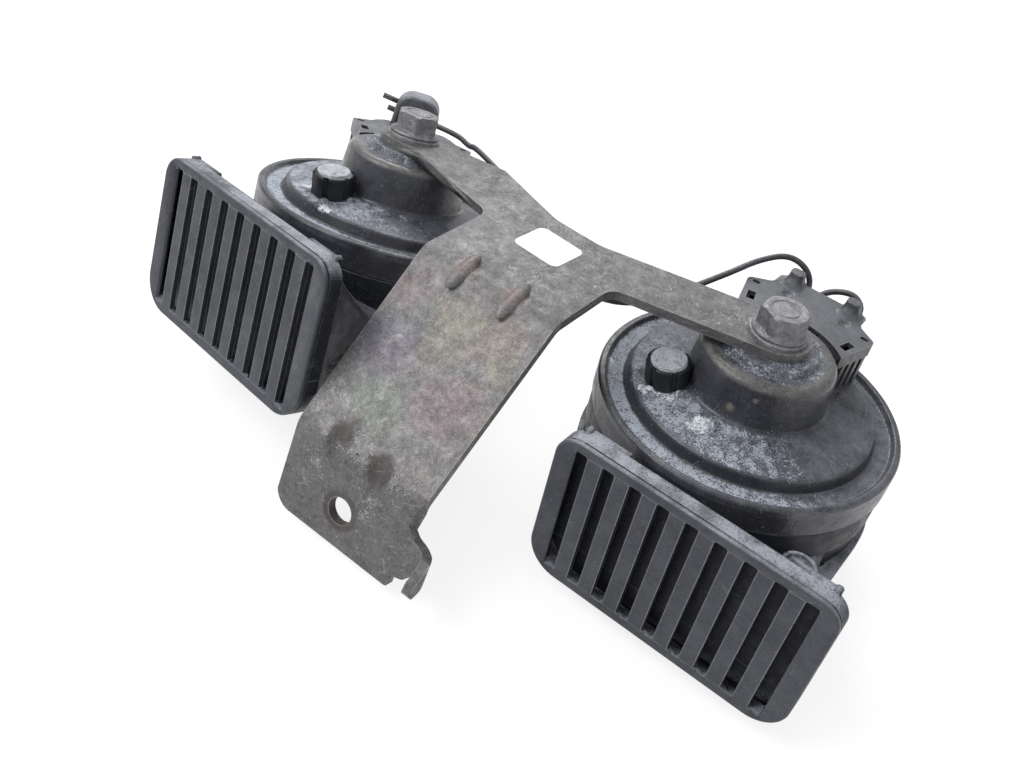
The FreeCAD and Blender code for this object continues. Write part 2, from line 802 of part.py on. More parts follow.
def make_adjuster_screw():
    upper = breaker_levels()[0]
    lean = math.radians(plateau_slope)
    down = (plateau_at(adjuster_distance) - upper - blade_thickness) / math.cos(lean)
    tip = -down + (adjuster_screw_radius + 0.3) * math.tan(lean)
    seat = 0.3
    screw = rod(adjuster_screw_radius, tip, seat - tip + 1).fuse(hexagon(adjuster_hex, seat, adjuster_hex_height))
    slot = block(0, -5, seat + adjuster_hex_height - 1.2, 1.0, 10, 2)
    return at_adjuster(screw.cut(slot))


def make_adjuster_cap():
    """Rubber cap with broad lobes round its side and a plain disc on top."""
    lobes = cap_height - cap_disc_height
    cap = turned([(0, 0), (cap_radius, 0, 0.5), (cap_radius, lobes, 0.7), (cap_top_radius, lobes),
                  (cap_top_radius, cap_height, 0.5), (0, cap_height)])
    cap = cap.cut(rod(cap_hollow_radius, -1, cap_hollow_height + 1))
    for i in range(cap_notch_count):
        notch = rod(cap_notch_radius, -1, lobes + 1, polar(cap_radius, cap_notch_turn + 360 / cap_notch_count * i))
        cap = cap.cut(notch)
    return at_adjuster(cap)


# Trumpet


def bell_sections(mouth, wall, lead):
    """Rounded sections of the flaring bell, from inside the body out to the collar."""
    left = mouth["offset"] - mouth_width / 2
    right = mouth["offset"] + mouth_width / 2
    floor = mouth["rise"] - mouth_height
    end = -mouth["reach"] + collar_depth
    body_bottom_radius = body_radii()[2]
    # y, left, right, bottom, top and corner radius of each outer section
    rows = [(-12.0 + lead, 4.0, body_bottom_radius - 2.6, -body_depth + 0.8, -passage_top + bell_wall, 4.0),
            (-30.0, -8.0, body_bottom_radius + 1.2, -body_depth - 0.2, -body_step_depth + 0.5, 5.0),
            (bell_shoulder_y, left + 9.0, right - 7.0, floor + 1.4, mouth["rise"] - 17.0, 6.0),
            (end - lead, left + 1.4, right - 1.4, floor + 1.0, mouth["rise"] - 1.4, 7.5)]
    wires = []
    for y, a, b, low, high, radius in rows:
        r = max(radius - wall, 1.5)
        roof = wall * (bell_shoulder_wall if y == bell_shoulder_y else 1.0)
        wires.append(rectangle_at(y, a + wall, b - wall, low + wall, high - roof, r, r))
    return wires


def body_radii():
    """Radii of the round body under the cover: its top, its step and its floor."""
    top = rim_radius - body_inset
    return top, top - body_step, top - body_taper


def body_shell():
    """Outside of the round body, from the flange inside the cover down to its floor."""
    inside = rim_radius - cover_wall - hole_clearance
    flange_top = diaphragm_top() - diaphragm_thickness
    crimp_top = -cover_depth + cover_wall * 0.8
    neck = crimp_radius - hole_clearance / 2
    lip = split_flange_thickness
    body_radius, body_step_radius, body_bottom_radius = body_radii()
    edge = body_step_radius + split_flange
    return turned([(0, flange_top), (inside, flange_top), (inside, crimp_top), (neck, crimp_top),
                   (neck, -cover_depth - 0.1), (body_radius, -cover_depth - 0.1, 0.5),
                   (body_radius, -body_step_depth, 0.5), (body_step_radius, -body_step_depth - 0.8),
                   (body_step_radius, -split_depth + lip), (edge, -split_depth + lip, 0.4),
                   (edge, -split_depth - lip, 0.4), (body_step_radius - 0.4, -split_depth - lip),
                   (body_bottom_radius, -body_depth, 2.5), (0, -body_depth)])


def passage(outer_bell):
    """Sound passage: out from the throat to the front, then once round the body to the bell."""
    low = -body_depth + body_wall
    height = -passage_top - low
    half = first_passage_width / 2
    core = slab([(4, -44), (-24, -44), (-18, -27, 3), (-25, -18, 6), (-26, 4, 14), (-16, 18, 12), (4, 21, 14),
                 (15, 10, 10), (14, -8, 6), (6, -16, 3)], low, height)
    first = slab([(-half, 3, 4), (half, 3, 4), (half, -60), (-half, -60)], low, height)
    first.rotate(Vector(0, 0, 0), Vector(0, 0, 1), -30)
    core = core.cut(first).cut(rod(throat_radius, low, height))
    return rod(body_radii()[2] - body_wall, low, height).cut(core).cut(outer_bell)


def make_trumpet(mouth):
    """Whole trumpet with its passage, collar and flange, before it is split in two halves."""
    outer_bell = Part.makeLoft(bell_sections(mouth, 0.0, 0.0), True, False)
    outer_bell = outer_bell.cut(rod(rim_radius + housing_clearance, -cover_depth - 0.1, cover_depth + 10))
    inner_bell = Part.makeLoft(bell_sections(mouth, bell_wall, 1.0), True, False)
    end = -mouth["reach"] + collar_depth
    left = mouth["offset"] - mouth_width / 2
    right = mouth["offset"] + mouth_width / 2
    rise = mouth["rise"]
    floor = rise - mouth_height
    back_wire = rectangle_at(end, left, right, floor, rise, collar_top_radius, collar_bottom_radius)
    collar = Part.Face(back_wire).extrude(Vector(0, grille_thickness - collar_depth, 0))
    wall = collar_wall
    hollow_wire = rectangle_at(end, left + wall, right - wall, floor + wall, rise - wall,
                               collar_top_radius - wall, collar_bottom_radius - wall)
    hollow = Part.Face(hollow_wire).extrude(Vector(0, -collar_depth - 1, 0))
    hollow.translate(Vector(0, -1.2, 0))
    flange_top = diaphragm_top() - diaphragm_thickness
    throat = rod(throat_radius, -passage_top - 1, passage_top - 1)
    chamber = Part.makeCone(throat_radius + 2, chamber_radius, 2.0 + chamber_depth,
                            Vector(0, 0, flange_top - 2.0 - chamber_depth))
    lip = split_flange_thickness
    edge = body_radii()[1] + split_flange
    flange_section = slab([(left + 6, end + 2), (right - 3.5, end + 2), (edge, -30, 12), (edge, 0), (0, 0),
                           (0, -20, 8), (-16, -40, 8)], -split_depth - lip, 2 * lip)
    solid = body_shell().fuse([outer_bell, collar, flange_section])
    for side in (-1, 1):
        outer = mouth["offset"] + side * (mouth_width / 2 - collar_top_radius * 0.6)
        inner = outer - side * ear_width
        ear = block((outer + inner) / 2, end - 0.5, rise - wall, ear_width, ear_reach + 0.5, wall)
        bead = Part.makeCylinder(ear_bead, 2 * ear_bead, Vector(outer - side * ear_bead, end - 2 * ear_bead + ear_reach,
                                                               rise - ear_bead * 0.4), Vector(0, 1, 0))
        solid = solid.fuse([ear, bead])
    if mouth["boss"]:
        low = -split_depth / 2
        top = roof_boss_height - 5.0
        at = Vector(roof_boss_x, roof_boss_y, 0)
        boss = rod(roof_boss_radius, low, top - low, at)
        boss = boss.cut(rod(roof_boss_radius - roof_boss_wall, top - roof_boss_recess, 5, at))
        solid = solid.fuse(boss)
    solid = solid.cut(inner_bell).cut(hollow)
    drain = rod(drain_radius, floor - 1, wall + 2, Vector(first_slot(mouth), end - collar_depth * 0.45, 0))
    solid = solid.cut([chamber, throat, drain])
    return solid.cut(passage(outer_bell))


def first_slot(mouth):
    """Where the first slot of the grille stands along x."""
    return mouth["offset"] - slot_pitch * (slot_count - 1) / 2


def split_trumpet(trumpet):
    """Upper and lower mouldings, which meet at the flange round the body."""
    size = 400.0
    upper_box = Part.makeBox(size, size, size, Vector(-size / 2, -size / 2, -split_depth))
    lower_box = Part.makeBox(size, size, size, Vector(-size / 2, -size / 2, -split_depth - size))
    return largest(trumpet.common(upper_box)), largest(trumpet.common(lower_box))


def largest(shape):
    return max(shape.Solids, key=lambda solid: solid.Volume)


def mouth_plate(mouth, y, inset, depth):
    """Plate with the mouth's outline, set in by inset, from y backwards."""
    half = mouth_width / 2 - inset
    wire = rectangle_at(y, mouth["offset"] - half, mouth["offset"] + half, mouth["rise"] - mouth_height + inset,
                        mouth["rise"] - inset, collar_top_radius - inset, collar_bottom_radius - inset)
    return Part.Face(wire).extrude(Vector(0, depth, 0))


def make_grille(mouth):
    """Slotted plate over the whole mouth, with a lip that plugs into the collar behind it."""
    front = -mouth["reach"]
    gap = collar_wall + grille_clearance
    plate = mouth_plate(mouth, front, 0, grille_thickness - seam_depth)
    edges = [e for e in plate.Edges if abs(e.BoundBox.YMin - front) < 1e-6 and abs(e.BoundBox.YMax - front) < 1e-6]
    plate = plate.makeFillet(grille_round, edges)
    back = front + grille_thickness
    lip = mouth_plate(mouth, back - seam_depth, gap, seam_depth + lip_depth)
    lip = lip.cut(mouth_plate(mouth, back, gap + lip_width, lip_depth + 1))
    plate = plate.fuse([mouth_plate(mouth, back - seam_depth, seam_depth, seam_depth), lip])
    first = first_slot(mouth)
    floor = mouth["rise"] - mouth_height
    for i in range(slot_count):
        x = first + slot_pitch * i
        slot_wire = rectangle_at(front - 1, x - slot_width / 2, x + slot_width / 2, floor + slot_bottom,
                                 mouth["rise"] - slot_top, 0.7, 0.7)
        plate = plate.cut(Part.Face(slot_wire).extrude(Vector(0, grille_thickness + 1, 0)))
    return plate


# Terminal housing, drawn on the +Y side


def rivet_points():
    """The two rivets of the terminal housing."""
    return [Vector(housing_shift + side * terminal_spacing / 2, terminal_y, 0) for side in (-1, 1)]


def cover_envelope():
    """What the housing must clear: the cover's outside, with a small clearance."""
    c = housing_clearance
    return turned([(0, -20), (rim_radius + c, -20), (rim_radius + c, c),
                   (channel_outer_radius + 0.6, c), (channel_outer_radius - 0.4, -channel_depth + c),
                   (channel_inner_radius + 0.4, -channel_depth + c), (plateau_radius + 0.6, plateau_height),
                   (boss_base_radius + boss_fillet, plateau_at(boss_base_radius + boss_fillet)),
                   (boss_base_radius + housing_gap, plateau_at(boss_base_radius) + 2),
                   (boss_base_radius + housing_gap, seat_height + 5), (0, seat_height + 5)])


def side_x(y, inset):
    return housing_middle_half + (y - housing_middle_y) * housing_side_slope - inset


def housing_outline(inset):
    """Outline of the lid, or of the housing set back from it."""
    shift = housing_shift
    low = 12.0
    corner = housing_corner_y - inset * 0.4
    ear = housing_ear_y - inset
    bulge = housing_bulge_y - inset
    reach = snout_x + 4.0 - inset
    half = [(side_x(low, inset), low, 0), (side_x(corner, inset), corner, 2.2), (housing_ear_x, ear, 2.5),
            (reach, bulge - 3.5, 2.0), (reach - 3.0, bulge, 3.0)]
    right = [(shift + x, y, r) for x, y, r in half]
    left = [(shift - x, y, r) for x, y, r in half[::-1]]
    return right + left


def housing_floor():
    """Height of the housing's inner floor, over the highest point of the plateau."""
    return plateau_at(boss_base_radius) + housing_wall


def make_housing():
    top = lid_top - lid_thickness
    inset = housing_wall + housing_clearance
    shell = slab(housing_outline(inset), -channel_depth, top + channel_depth)
    for side in (-1, 1):
        for i in range(rib_count):
            y = housing_middle_y - 1.5 + rib_spacing_side * i
            rib = block(0, -0.7, plateau_height, 2 * rib_depth, 1.4, lid_top - lid_skirt - plateau_height - 0.2)
            rib.rotate(Vector(0, 0, 0), Vector(0, 0, 1), side * -math.degrees(math.atan(housing_side_slope)))
            rib.translate(Vector(housing_shift + side * side_x(y, inset), y, 0))
            shell = shell.fuse(rib)
    hollow = slab(housing_outline(inset + housing_wall), housing_floor(), top)
    inner_front = rod(boss_base_radius + housing_gap + housing_wall, -5, lid_top + 5)
    shell = shell.cut(hollow.cut(inner_front)).cut(cover_envelope())
    for point in rivet_points():
        shell = shell.cut(rod(terminal_rivet_radius + 0.05, -5, 15, point))
    return largest(shell)


def snout(side):
    """Hood on the lid over a lead's outlet, rising to the back and narrowing."""
    wires = []
    rows = [(0.0, snout_front, snout_back, snout_half, 2.5), (0.45, snout_front + 4.4, snout_back, snout_half - 2.6, 2.0),
            (1.0, snout_back - 4.4, snout_back - 0.6, snout_tip_half, 1.4)]
    for share, front, back, half, radius in rows:
        wire = outline([(-half, front, radius), (half, front, radius), (half, back, radius), (-half, back, radius)])
        wire.translate(Vector(housing_shift + snout_shift + side * snout_x, 0, lid_top - 0.6 + snout_height * share))
        wires.append(wire)
    return Part.makeLoft(wires, True, False)


def make_lid(snouts):
    top = lid_top
    plate = slab(housing_outline(0), top - lid_skirt, lid_skirt)
    inset = housing_wall
    under = slab(housing_outline(inset), top - lid_skirt - 1, lid_skirt + 1 - lid_thickness)
    plate = plate.cut(under)
    if snouts:
        plate = plate.fuse([snout(-1), snout(1)])
    plate = plate.cut(cover_envelope())
    for side in (-1, 1):
        window = block(0, -lid_window_length / 2, top - lid_skirt, lid_window_width, lid_window_length, lid_skirt + 2)
        window.rotate(Vector(0, 0, 0), Vector(0, 0, 1), side * -lid_window_splay)
        window.translate(Vector(housing_shift + side * lid_window_x, lid_window_y, 0))
        eye = block(0, -lid_eye_radius, top - lid_skirt, lid_eye_length, 2 * lid_eye_radius, lid_skirt + 2)
        eye = eye.makeFillet(lid_eye_radius * 0.95, [e for e in eye.Edges if e.Length > lid_skirt + 1.5])
        eye.translate(Vector(housing_shift + side * lid_eye_x, lid_eye_y, 0))
        plate = plate.cut(window).cut(eye)
        if snouts:
            centre = Vector(housing_shift + snout_shift + side * snout_x + 1.5, dent_y, top + dent_radius * 0.72)
            plate = plate.cut(Part.makeSphere(dent_radius, centre))
    return largest(plate)


def make_terminals():
    made = []
    for point in rivet_points():
        floor = housing_floor()
        front = point.y - terminal_foot_front
        foot = block(point.x, front, floor, terminal_width, terminal_foot, terminal_thickness)
        foot = foot.cut(rod(terminal_rivet_radius + 0.05, 0, 15, point))
        blade = block(point.x, front + terminal_foot - terminal_thickness, floor, terminal_width, terminal_thickness,
                      lid_top - lid_thickness - floor - 2.0)
        made.append(foot.fuse(blade))
    return Part.makeCompound(made)


def make_rivets():
    made = []
    top = housing_floor() + terminal_thickness
    for point in rivet_points():
        bottom = ceiling_at(point.Length + terminal_rivet_head)
        shank = rod(terminal_rivet_radius, bottom - 0.8, top - bottom + 1.6, point)
        heads = [rod(terminal_rivet_head, top, 0.8, point), rod(terminal_rivet_head, bottom - 0.8, 0.8, point)]
        made.append(shank.fuse(heads))
    return Part.makeCompound(made)


def make_boot():
    """Rubber boot on the left horn's plug, rounded over its top."""
    half = boot_width / 2
    height = boot_top - lid_top
    face = Part.Face(outline([(-half, 0), (half, 0), (half - 0.8, height, boot_round), (-half + 0.8, height, boot_round)]))
    face.rotate(Vector(0, 0, 0), Vector(1, 0, 0), 90)
    body = face.extrude(Vector(0, boot_depth, 0))
    edges = [e for e in body.Edges if min(abs(e.CenterOfMass.y), abs(e.CenterOfMass.y - boot_depth)) < 1e-6
             and e.CenterOfMass.z > 0.1]
    body = body.makeFillet(1.6, edges)
    body.translate(Vector(boot_x, boot_y, lid_top))
    return body


def make_cut_leads():
    made = []
    for i in range(2):
        start = Vector(boot_x - boot_width / 2 + 1.5, boot_y + 5.5 + i, cut_lead_top - i * cut_lead_spacing)
        length = cut_lead_length + 1.5 - i * 2.5
        made.append(Part.makeCylinder(cut_lead_radius, length, start, Vector(-1, 0, 0.12)))
    return made


# Assembly


def can_pieces(snouts):
    """Pieces that turn with the cover when the horn is set for its note."""
    upper, lower = breaker_levels()
    return {"cover": make_cover(), "magnet_core": make_core(), "bolt": make_bolt(),
            "washer": make_washer(), "coil_bobbin": make_bobbin(), "coil": make_coil(),
            "yoke_plate": make_yoke(), "armature": make_armature(),
            "armature_washer": make_armature_washer(), "diaphragm": make_diaphragm(),
            "gasket": make_gasket(), "breaker_fixed_blade": make_breaker_blade(upper),
            "breaker_spring_blade": make_breaker_blade(lower),
            "breaker_block": make_breaker_block(), "breaker_contacts": make_contacts(),
            "adjuster_screw": make_adjuster_screw(), "adjuster_cap": make_adjuster_cap(),
            "terminal_housing": make_housing(), "terminal_lid": make_lid(snouts),
            "terminals": make_terminals(), "terminal_rivets": make_rivets()}


def horn_pieces(turn, snouts, mouth):
    pieces = can_pieces(snouts)
    if not snouts:
        boot = make_boot()
        leads = make_cut_leads()
        pieces["plug_boot"] = boot.cut(leads)
        pieces["cut_leads"] = Part.makeCompound(leads)
    for shape in pieces.values():
        shape.rotate(Vector(0, 0, 0), Vector(0, 0, 1), turn)
    upper, lower = split_trumpet(make_trumpet(mouth))
    pieces["trumpet_upper"] = upper
    pieces["trumpet_lower"] = lower
    pieces["grille"] = make_grille(mouth)
    return pieces


def right_frame():
    return FreeCAD.Placement(Vector(arm_reach, bolt_y, plate_top - sheet - seat_height), FreeCAD.Rotation())


def left_frame():
    seat = FreeCAD.Placement(Vector(0, 0, -sheet - seat_height), FreeCAD.Rotation(Vector(0, 0, 1), left_horn_turn))
    return pad_frame().multiply(seat)


def rounded_path(points):
    """Straight runs joined by tangent arcs, each 0.45 of the shorter run beside it."""
    pieces = []
    start = points[0]
    radii = []
    for i in range(1, len(points) - 1):
        back = points[i - 1] - points[i]
        ahead = points[i + 1] - points[i]
        turn = math.pi - back.getAngle(ahead)
        run = 0.45 * min(back.Length, ahead.Length)
        radii.append(run / math.tan(turn / 2))
        back.normalize()
        ahead.normalize()
        half = (math.pi - turn) / 2
        middle = points[i] + (back + ahead).normalize() * (run / math.cos(half) - run * math.tan(half))
        near = points[i] + back * run
        far = points[i] + ahead * run
        pieces.append(Part.LineSegment(start, near).toShape())
        pieces.append(Part.Arc(near, middle, far).toShape())
        start = far
    pieces.append(Part.LineSegment(start, points[-1]).toShape())
    return Part.Wire(pieces), radii


def make_wire(points, radius):
    path, radii = rounded_path(points)
    print("bend radii", [round(r, 1) for r in radii])
    direction = points[1] - points[0]
    circle = Part.Wire(Part.makeCircle(radius, points[0], direction))
    return path.makePipeShell([circle], True, False)


def long_lead_points():
    points = [right_frame().multVec(Vector(*p)) for p in long_lead]
    turn = FreeCAD.Placement(Vector(0, 0, 0), FreeCAD.Rotation(Vector(0, 0, 1), left_can_turn))
    return points + [left_frame().multiply(turn).multVec(Vector(*p)) for p in long_lead_end]


def short_lead_points():
    return [right_frame().multVec(Vector(*p)) for p in short_lead]


def save(name, shape):
    if shape.ShapeType == "Compound" and len(shape.Solids) == 1:
        shape = shape.Solids[0]
    shape.exportStep("parts/%s.step" % name)
    print("%-28s solids %d volume %.1f valid %s" % (name, len(shape.Solids), shape.Volume, shape.isValid()))


def main():
    os.makedirs("parts", exist_ok=True)
    save("bracket", make_bracket())
    right_mouth = {"offset": right_mouth_offset, "rise": right_mouth_rise, "reach": right_mouth_reach,
                   "boss": True}
    left_mouth = {"offset": left_mouth_offset, "rise": left_mouth_rise, "reach": left_mouth_reach,
                  "boss": False}
    horns = (("right", right_frame(), 0.0, True, right_mouth), ("left", left_frame(), left_can_turn, False, left_mouth))
    long_points = long_lead_points()
    short_points = short_lead_points()
    holes = [make_wire(long_points, wire_hole_radius), make_wire(short_points, wire_hole_radius)]
    drilled = ("right_terminal_lid", "right_terminal_housing", "left_plug_boot")
    for side, frame, turn, snouts, mouth in horns:
        for name, shape in horn_pieces(turn, snouts, mouth).items():
            placed = shape.copy()
            placed.Placement = frame.multiply(placed.Placement)
            node = "%s_%s" % (side, name)
            if node in drilled:
                placed = largest(placed.cut(holes))
            save(node, placed)
    save("lead_between_horns", make_wire(long_points, wire_radius))
    save("lead_short", make_wire(short_points, wire_radius))


main()
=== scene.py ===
# Looks of the horn pair: finishes, cords, blank label, floor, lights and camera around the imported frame
import json
import math

import bmesh
import bpy
from mathutils import Euler, Matrix, Vector


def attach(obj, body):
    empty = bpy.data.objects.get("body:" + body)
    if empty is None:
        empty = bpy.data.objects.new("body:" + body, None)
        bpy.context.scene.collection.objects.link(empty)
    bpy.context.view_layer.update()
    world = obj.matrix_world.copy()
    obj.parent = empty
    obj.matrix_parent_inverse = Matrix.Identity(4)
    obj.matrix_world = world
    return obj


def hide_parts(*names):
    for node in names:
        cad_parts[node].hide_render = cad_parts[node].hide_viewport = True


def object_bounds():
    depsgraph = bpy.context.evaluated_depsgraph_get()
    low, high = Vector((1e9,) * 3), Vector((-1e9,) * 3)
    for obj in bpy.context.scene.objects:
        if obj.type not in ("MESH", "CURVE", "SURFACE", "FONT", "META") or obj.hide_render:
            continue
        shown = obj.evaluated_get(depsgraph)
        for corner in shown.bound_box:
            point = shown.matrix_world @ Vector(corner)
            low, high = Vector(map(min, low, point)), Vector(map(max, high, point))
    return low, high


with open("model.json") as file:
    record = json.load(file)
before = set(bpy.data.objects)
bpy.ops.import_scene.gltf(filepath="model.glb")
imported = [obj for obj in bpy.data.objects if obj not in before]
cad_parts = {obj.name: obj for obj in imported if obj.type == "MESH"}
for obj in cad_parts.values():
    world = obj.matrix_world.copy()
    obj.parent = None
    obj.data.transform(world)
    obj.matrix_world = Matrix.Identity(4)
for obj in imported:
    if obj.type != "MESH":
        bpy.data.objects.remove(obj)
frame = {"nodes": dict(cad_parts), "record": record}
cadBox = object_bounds()
nodes = frame["nodes"]
scene = bpy.context.scene
mm = 0.001
print("frame loaded:", len(nodes), "nodes")

# Where each horn stands: the middle of its rim's top and the turn of its axis, as in the model
rightHorn = {"at": (69.0, 102.12, 30.25), "turn": (0.0, 0.0, 0.0)}
leftHorn = {"at": (-67.648, 91.717, 31.7485), "turn": (-14.3498, -5.6707, -9.3746)}


def mmPoint(point):
    return Vector(point) * mm


def radians(angles):
    return [math.radians(angle) for angle in angles]


def inHorn(horn, point):
    return Euler(radians(horn["turn"])).to_matrix() @ Vector(point) + Vector(horn["at"])


camera = {
    "at": (132.594, -156.662, 223.217),
    "turn": (50.0953, -10.2489, 37.774),
    "lens": 37.1835,
    "sensor": 36.0,
    "clip": (0.005, 20.0),
}


def placeCamera():
    data = bpy.data.cameras.new("camera")
    data.lens = camera["lens"]
    data.sensor_width = camera["sensor"]
    data.clip_start, data.clip_end = camera["clip"]
    eye = bpy.data.objects.new("camera", data)
    eye.location = mmPoint(camera["at"])
    eye.rotation_euler = radians(camera["turn"])
    scene.collection.objects.link(eye)
    scene.camera = eye


# Small helpers for node trees

def nodeIn(tree, kind, **values):
    node = tree.nodes.new(kind)
    for key, value in values.items():
        setattr(node, key, value)
    return node


def feed(tree, socket, value):
    if isinstance(value, bpy.types.NodeSocket):
        tree.links.new(value, socket)
    elif value is not None:
        socket.default_value = value


def calc(tree, operation, a, b=None, c=None, clamp=False):
    node = nodeIn(tree, "ShaderNodeMath", operation=operation, use_clamp=clamp)
    for socket, value in zip(node.inputs, (a, b, c)):
        feed(tree, socket, value)
    return node.outputs[0]


def times(tree, a, b):
    return calc(tree, "MULTIPLY", a, b)


def band(tree, value, low, high, fromValue=0.0, toValue=1.0):
    node = nodeIn(tree, "ShaderNodeMapRange", interpolation_type="SMOOTHSTEP")
    feed(tree, node.inputs["Value"], value)
    feed(tree, node.inputs["From Min"], low)
    feed(tree, node.inputs["From Max"], high)
    feed(tree, node.inputs["To Min"], fromValue)
    feed(tree, node.inputs["To Max"], toValue)
    return node.outputs[0]


def bandIn(tree, value, low, high):
    # low and high are in millimetres
    return band(tree, value, low * mm, high * mm)


def blendColor(tree, share, a, b, kind="MIX"):
    node = nodeIn(tree, "ShaderNodeMix", data_type="RGBA", blend_type=kind)
    feed(tree, node.inputs[0], share)
    for socket, value in ((node.inputs[6], a), (node.inputs[7], b)):
        if isinstance(value, tuple) and len(value) == 3:
            value = value + (1.0,)
        feed(tree, socket, value)
    return node.outputs[2]


def grain(tree, place, size, detail=3.0, rough=0.55, seed=0.0, stretch=None):
    # size is the width of a typical spot in millimetres
    if stretch:
        place = scaled(tree, place, stretch)
    node = nodeIn(tree, "ShaderNodeTexNoise", noise_dimensions="4D")
    feed(tree, node.inputs["Vector"], place)
    feed(tree, node.inputs["W"], seed)
    feed(tree, node.inputs["Scale"], 1.0 / (size * mm))
    feed(tree, node.inputs["Detail"], detail)
    feed(tree, node.inputs["Roughness"], rough)
    return node.outputs[0]


def scaled(tree, place, factors):
    node = nodeIn(tree, "ShaderNodeVectorMath", operation="MULTIPLY")
    feed(tree, node.inputs[0], place)
    node.inputs[1].default_value = factors
    return node.outputs[0]


def distanceTo(tree, place, point):
    node = nodeIn(tree, "ShaderNodeVectorMath", operation="DISTANCE")
    feed(tree, node.inputs[0], place)
    node.inputs[1].default_value = mmPoint(point)
    return node.outputs["Value"]


def newGroup(name, result, **numbers):
    # Every group takes the place on the piece and its own numbers, and puts out one value
    tree = bpy.data.node_groups.new(name, "ShaderNodeTree")
    tree.interface.new_socket("Place", in_out="INPUT", socket_type="NodeSocketVector")
    for label, value in numbers.items():
        tree.interface.new_socket(label, in_out="INPUT", socket_type="NodeSocketFloat").default_value = value
    tree.interface.new_socket(result, in_out="OUTPUT", socket_type="NodeSocketFloat")
    return tree, tree.nodes.new("NodeGroupInput").outputs, tree.nodes.new("NodeGroupOutput").inputs


def useGroup(tree, group, **values):
    node = nodeIn(tree, "ShaderNodeGroup", node_tree=group)
    for label, value in values.items():
        feed(tree, node.inputs[label], value)
    return node.outputs


# Shared effects

def makeSpeckle():
    # Crusted spots of corrosion: fine grains, gathered in patches
    tree, given, out = newGroup("speckle", "Mask", Size=0.9, Cover=0.5, Seed=0.0)
    scale = calc(tree, "DIVIDE", 1000.0, given["Size"])
    total = None
    # scale beside the grains' own, detail, and share of the sum
    for factor, detail, share in ((1.0, 3.0, 0.58), (0.14, 4.0, 0.42)):
        node = nodeIn(tree, "ShaderNodeTexNoise", noise_dimensions="4D")
        feed(tree, node.inputs["Vector"], given["Place"])
        feed(tree, node.inputs["W"], given["Seed"])
        feed(tree, node.inputs["Scale"], times(tree, scale, factor))
        feed(tree, node.inputs["Detail"], detail)
        feed(tree, node.inputs["Roughness"], 0.65)
        part = times(tree, node.outputs[0], share)
        total = part if total is None else calc(tree, "ADD", total, part)
    threshold = calc(tree, "MULTIPLY_ADD", given["Cover"], -0.30, 0.68)
    feed(tree, out["Mask"], band(tree, total, threshold, calc(tree, "ADD", threshold, 0.07)))
    return tree


def makeEdgeWearAndHighlight():
    # Rubbed edges and painted edge highlights: pale where a rounded normal departs from the true one, broken
    # up by grain
    tree, given, out = newGroup("edgeWearAndHighlight", "Mask", Width=0.5, Break=0.5)
    bevel = nodeIn(tree, "ShaderNodeBevel", samples=4)
    feed(tree, bevel.inputs["Radius"], times(tree, given["Width"], mm))
    plain = nodeIn(tree, "ShaderNodeNewGeometry")
    dot = nodeIn(tree, "ShaderNodeVectorMath", operation="DOT_PRODUCT")
    feed(tree, dot.inputs[0], bevel.outputs[0])
    feed(tree, dot.inputs[1], plain.outputs["Normal"])
    turn = calc(tree, "SUBTRACT", 1.0, dot.outputs["Value"])
    edge = band(tree, turn, 0.006, 0.09)
    spots = grain(tree, given["Place"], 1.3, 5.0, 0.65, 3.0)
    low = calc(tree, "MULTIPLY_ADD", given["Break"], 0.45, 0.16)
    feed(tree, out["Mask"], times(tree, edge, band(tree, spots, low, calc(tree, "ADD", low, 0.16))))
    return tree


def makeDust():
    # Dust that lies on what faces up
    tree, given, out = newGroup("dust", "Mask", Amount=0.5)
    plain = nodeIn(tree, "ShaderNodeNewGeometry")
    split = nodeIn(tree, "ShaderNodeSeparateXYZ")
    feed(tree, split.inputs[0], plain.outputs["Normal"])
    up = band(tree, split.outputs[2], 0.35, 0.98)
    cloud = band(tree, grain(tree, given["Place"], 8.0, 6.0, 0.65, 7.0), 0.30, 0.70, 0.25, 1.0)
    fine = band(tree, grain(tree, given["Place"], 0.6, 3.0, 0.7, 8.0), 0.32, 0.66, 0.45, 1.0)
    mask = times(tree, times(tree, up, cloud), fine)
    feed(tree, out["Mask"], times(tree, mask, given["Amount"]))
    return tree


def makeScratches():
    # Fine straight scratches in three directions, gathered where things rub
    tree, given, out = newGroup("scratches", "Mask", Amount=0.5)
    total = None
    # direction in radians and seed of each set
    for angle, seed in ((0.5, 11.0), (-0.8, 17.0), (1.9, 23.0)):
        turn = nodeIn(tree, "ShaderNodeVectorRotate", rotation_type="EULER_XYZ")
        feed(tree, turn.inputs["Vector"], given["Place"])
        turn.inputs["Rotation"].default_value = (angle * 0.7, 0.4, angle)
        line = grain(tree, scaled(tree, turn.outputs[0], (1.0, 0.05, 0.4)), 0.42, 2.0, 0.5, seed)
        where = band(tree, grain(tree, given["Place"], 11.0, 3.0, 0.5, seed + 1.0), 0.46, 0.66)
        mask = times(tree, band(tree, line, 0.63, 0.70), where)
        total = mask if total is None else calc(tree, "MAXIMUM", total, mask)
    feed(tree, out["Mask"], times(tree, total, given["Amount"]))
    return tree


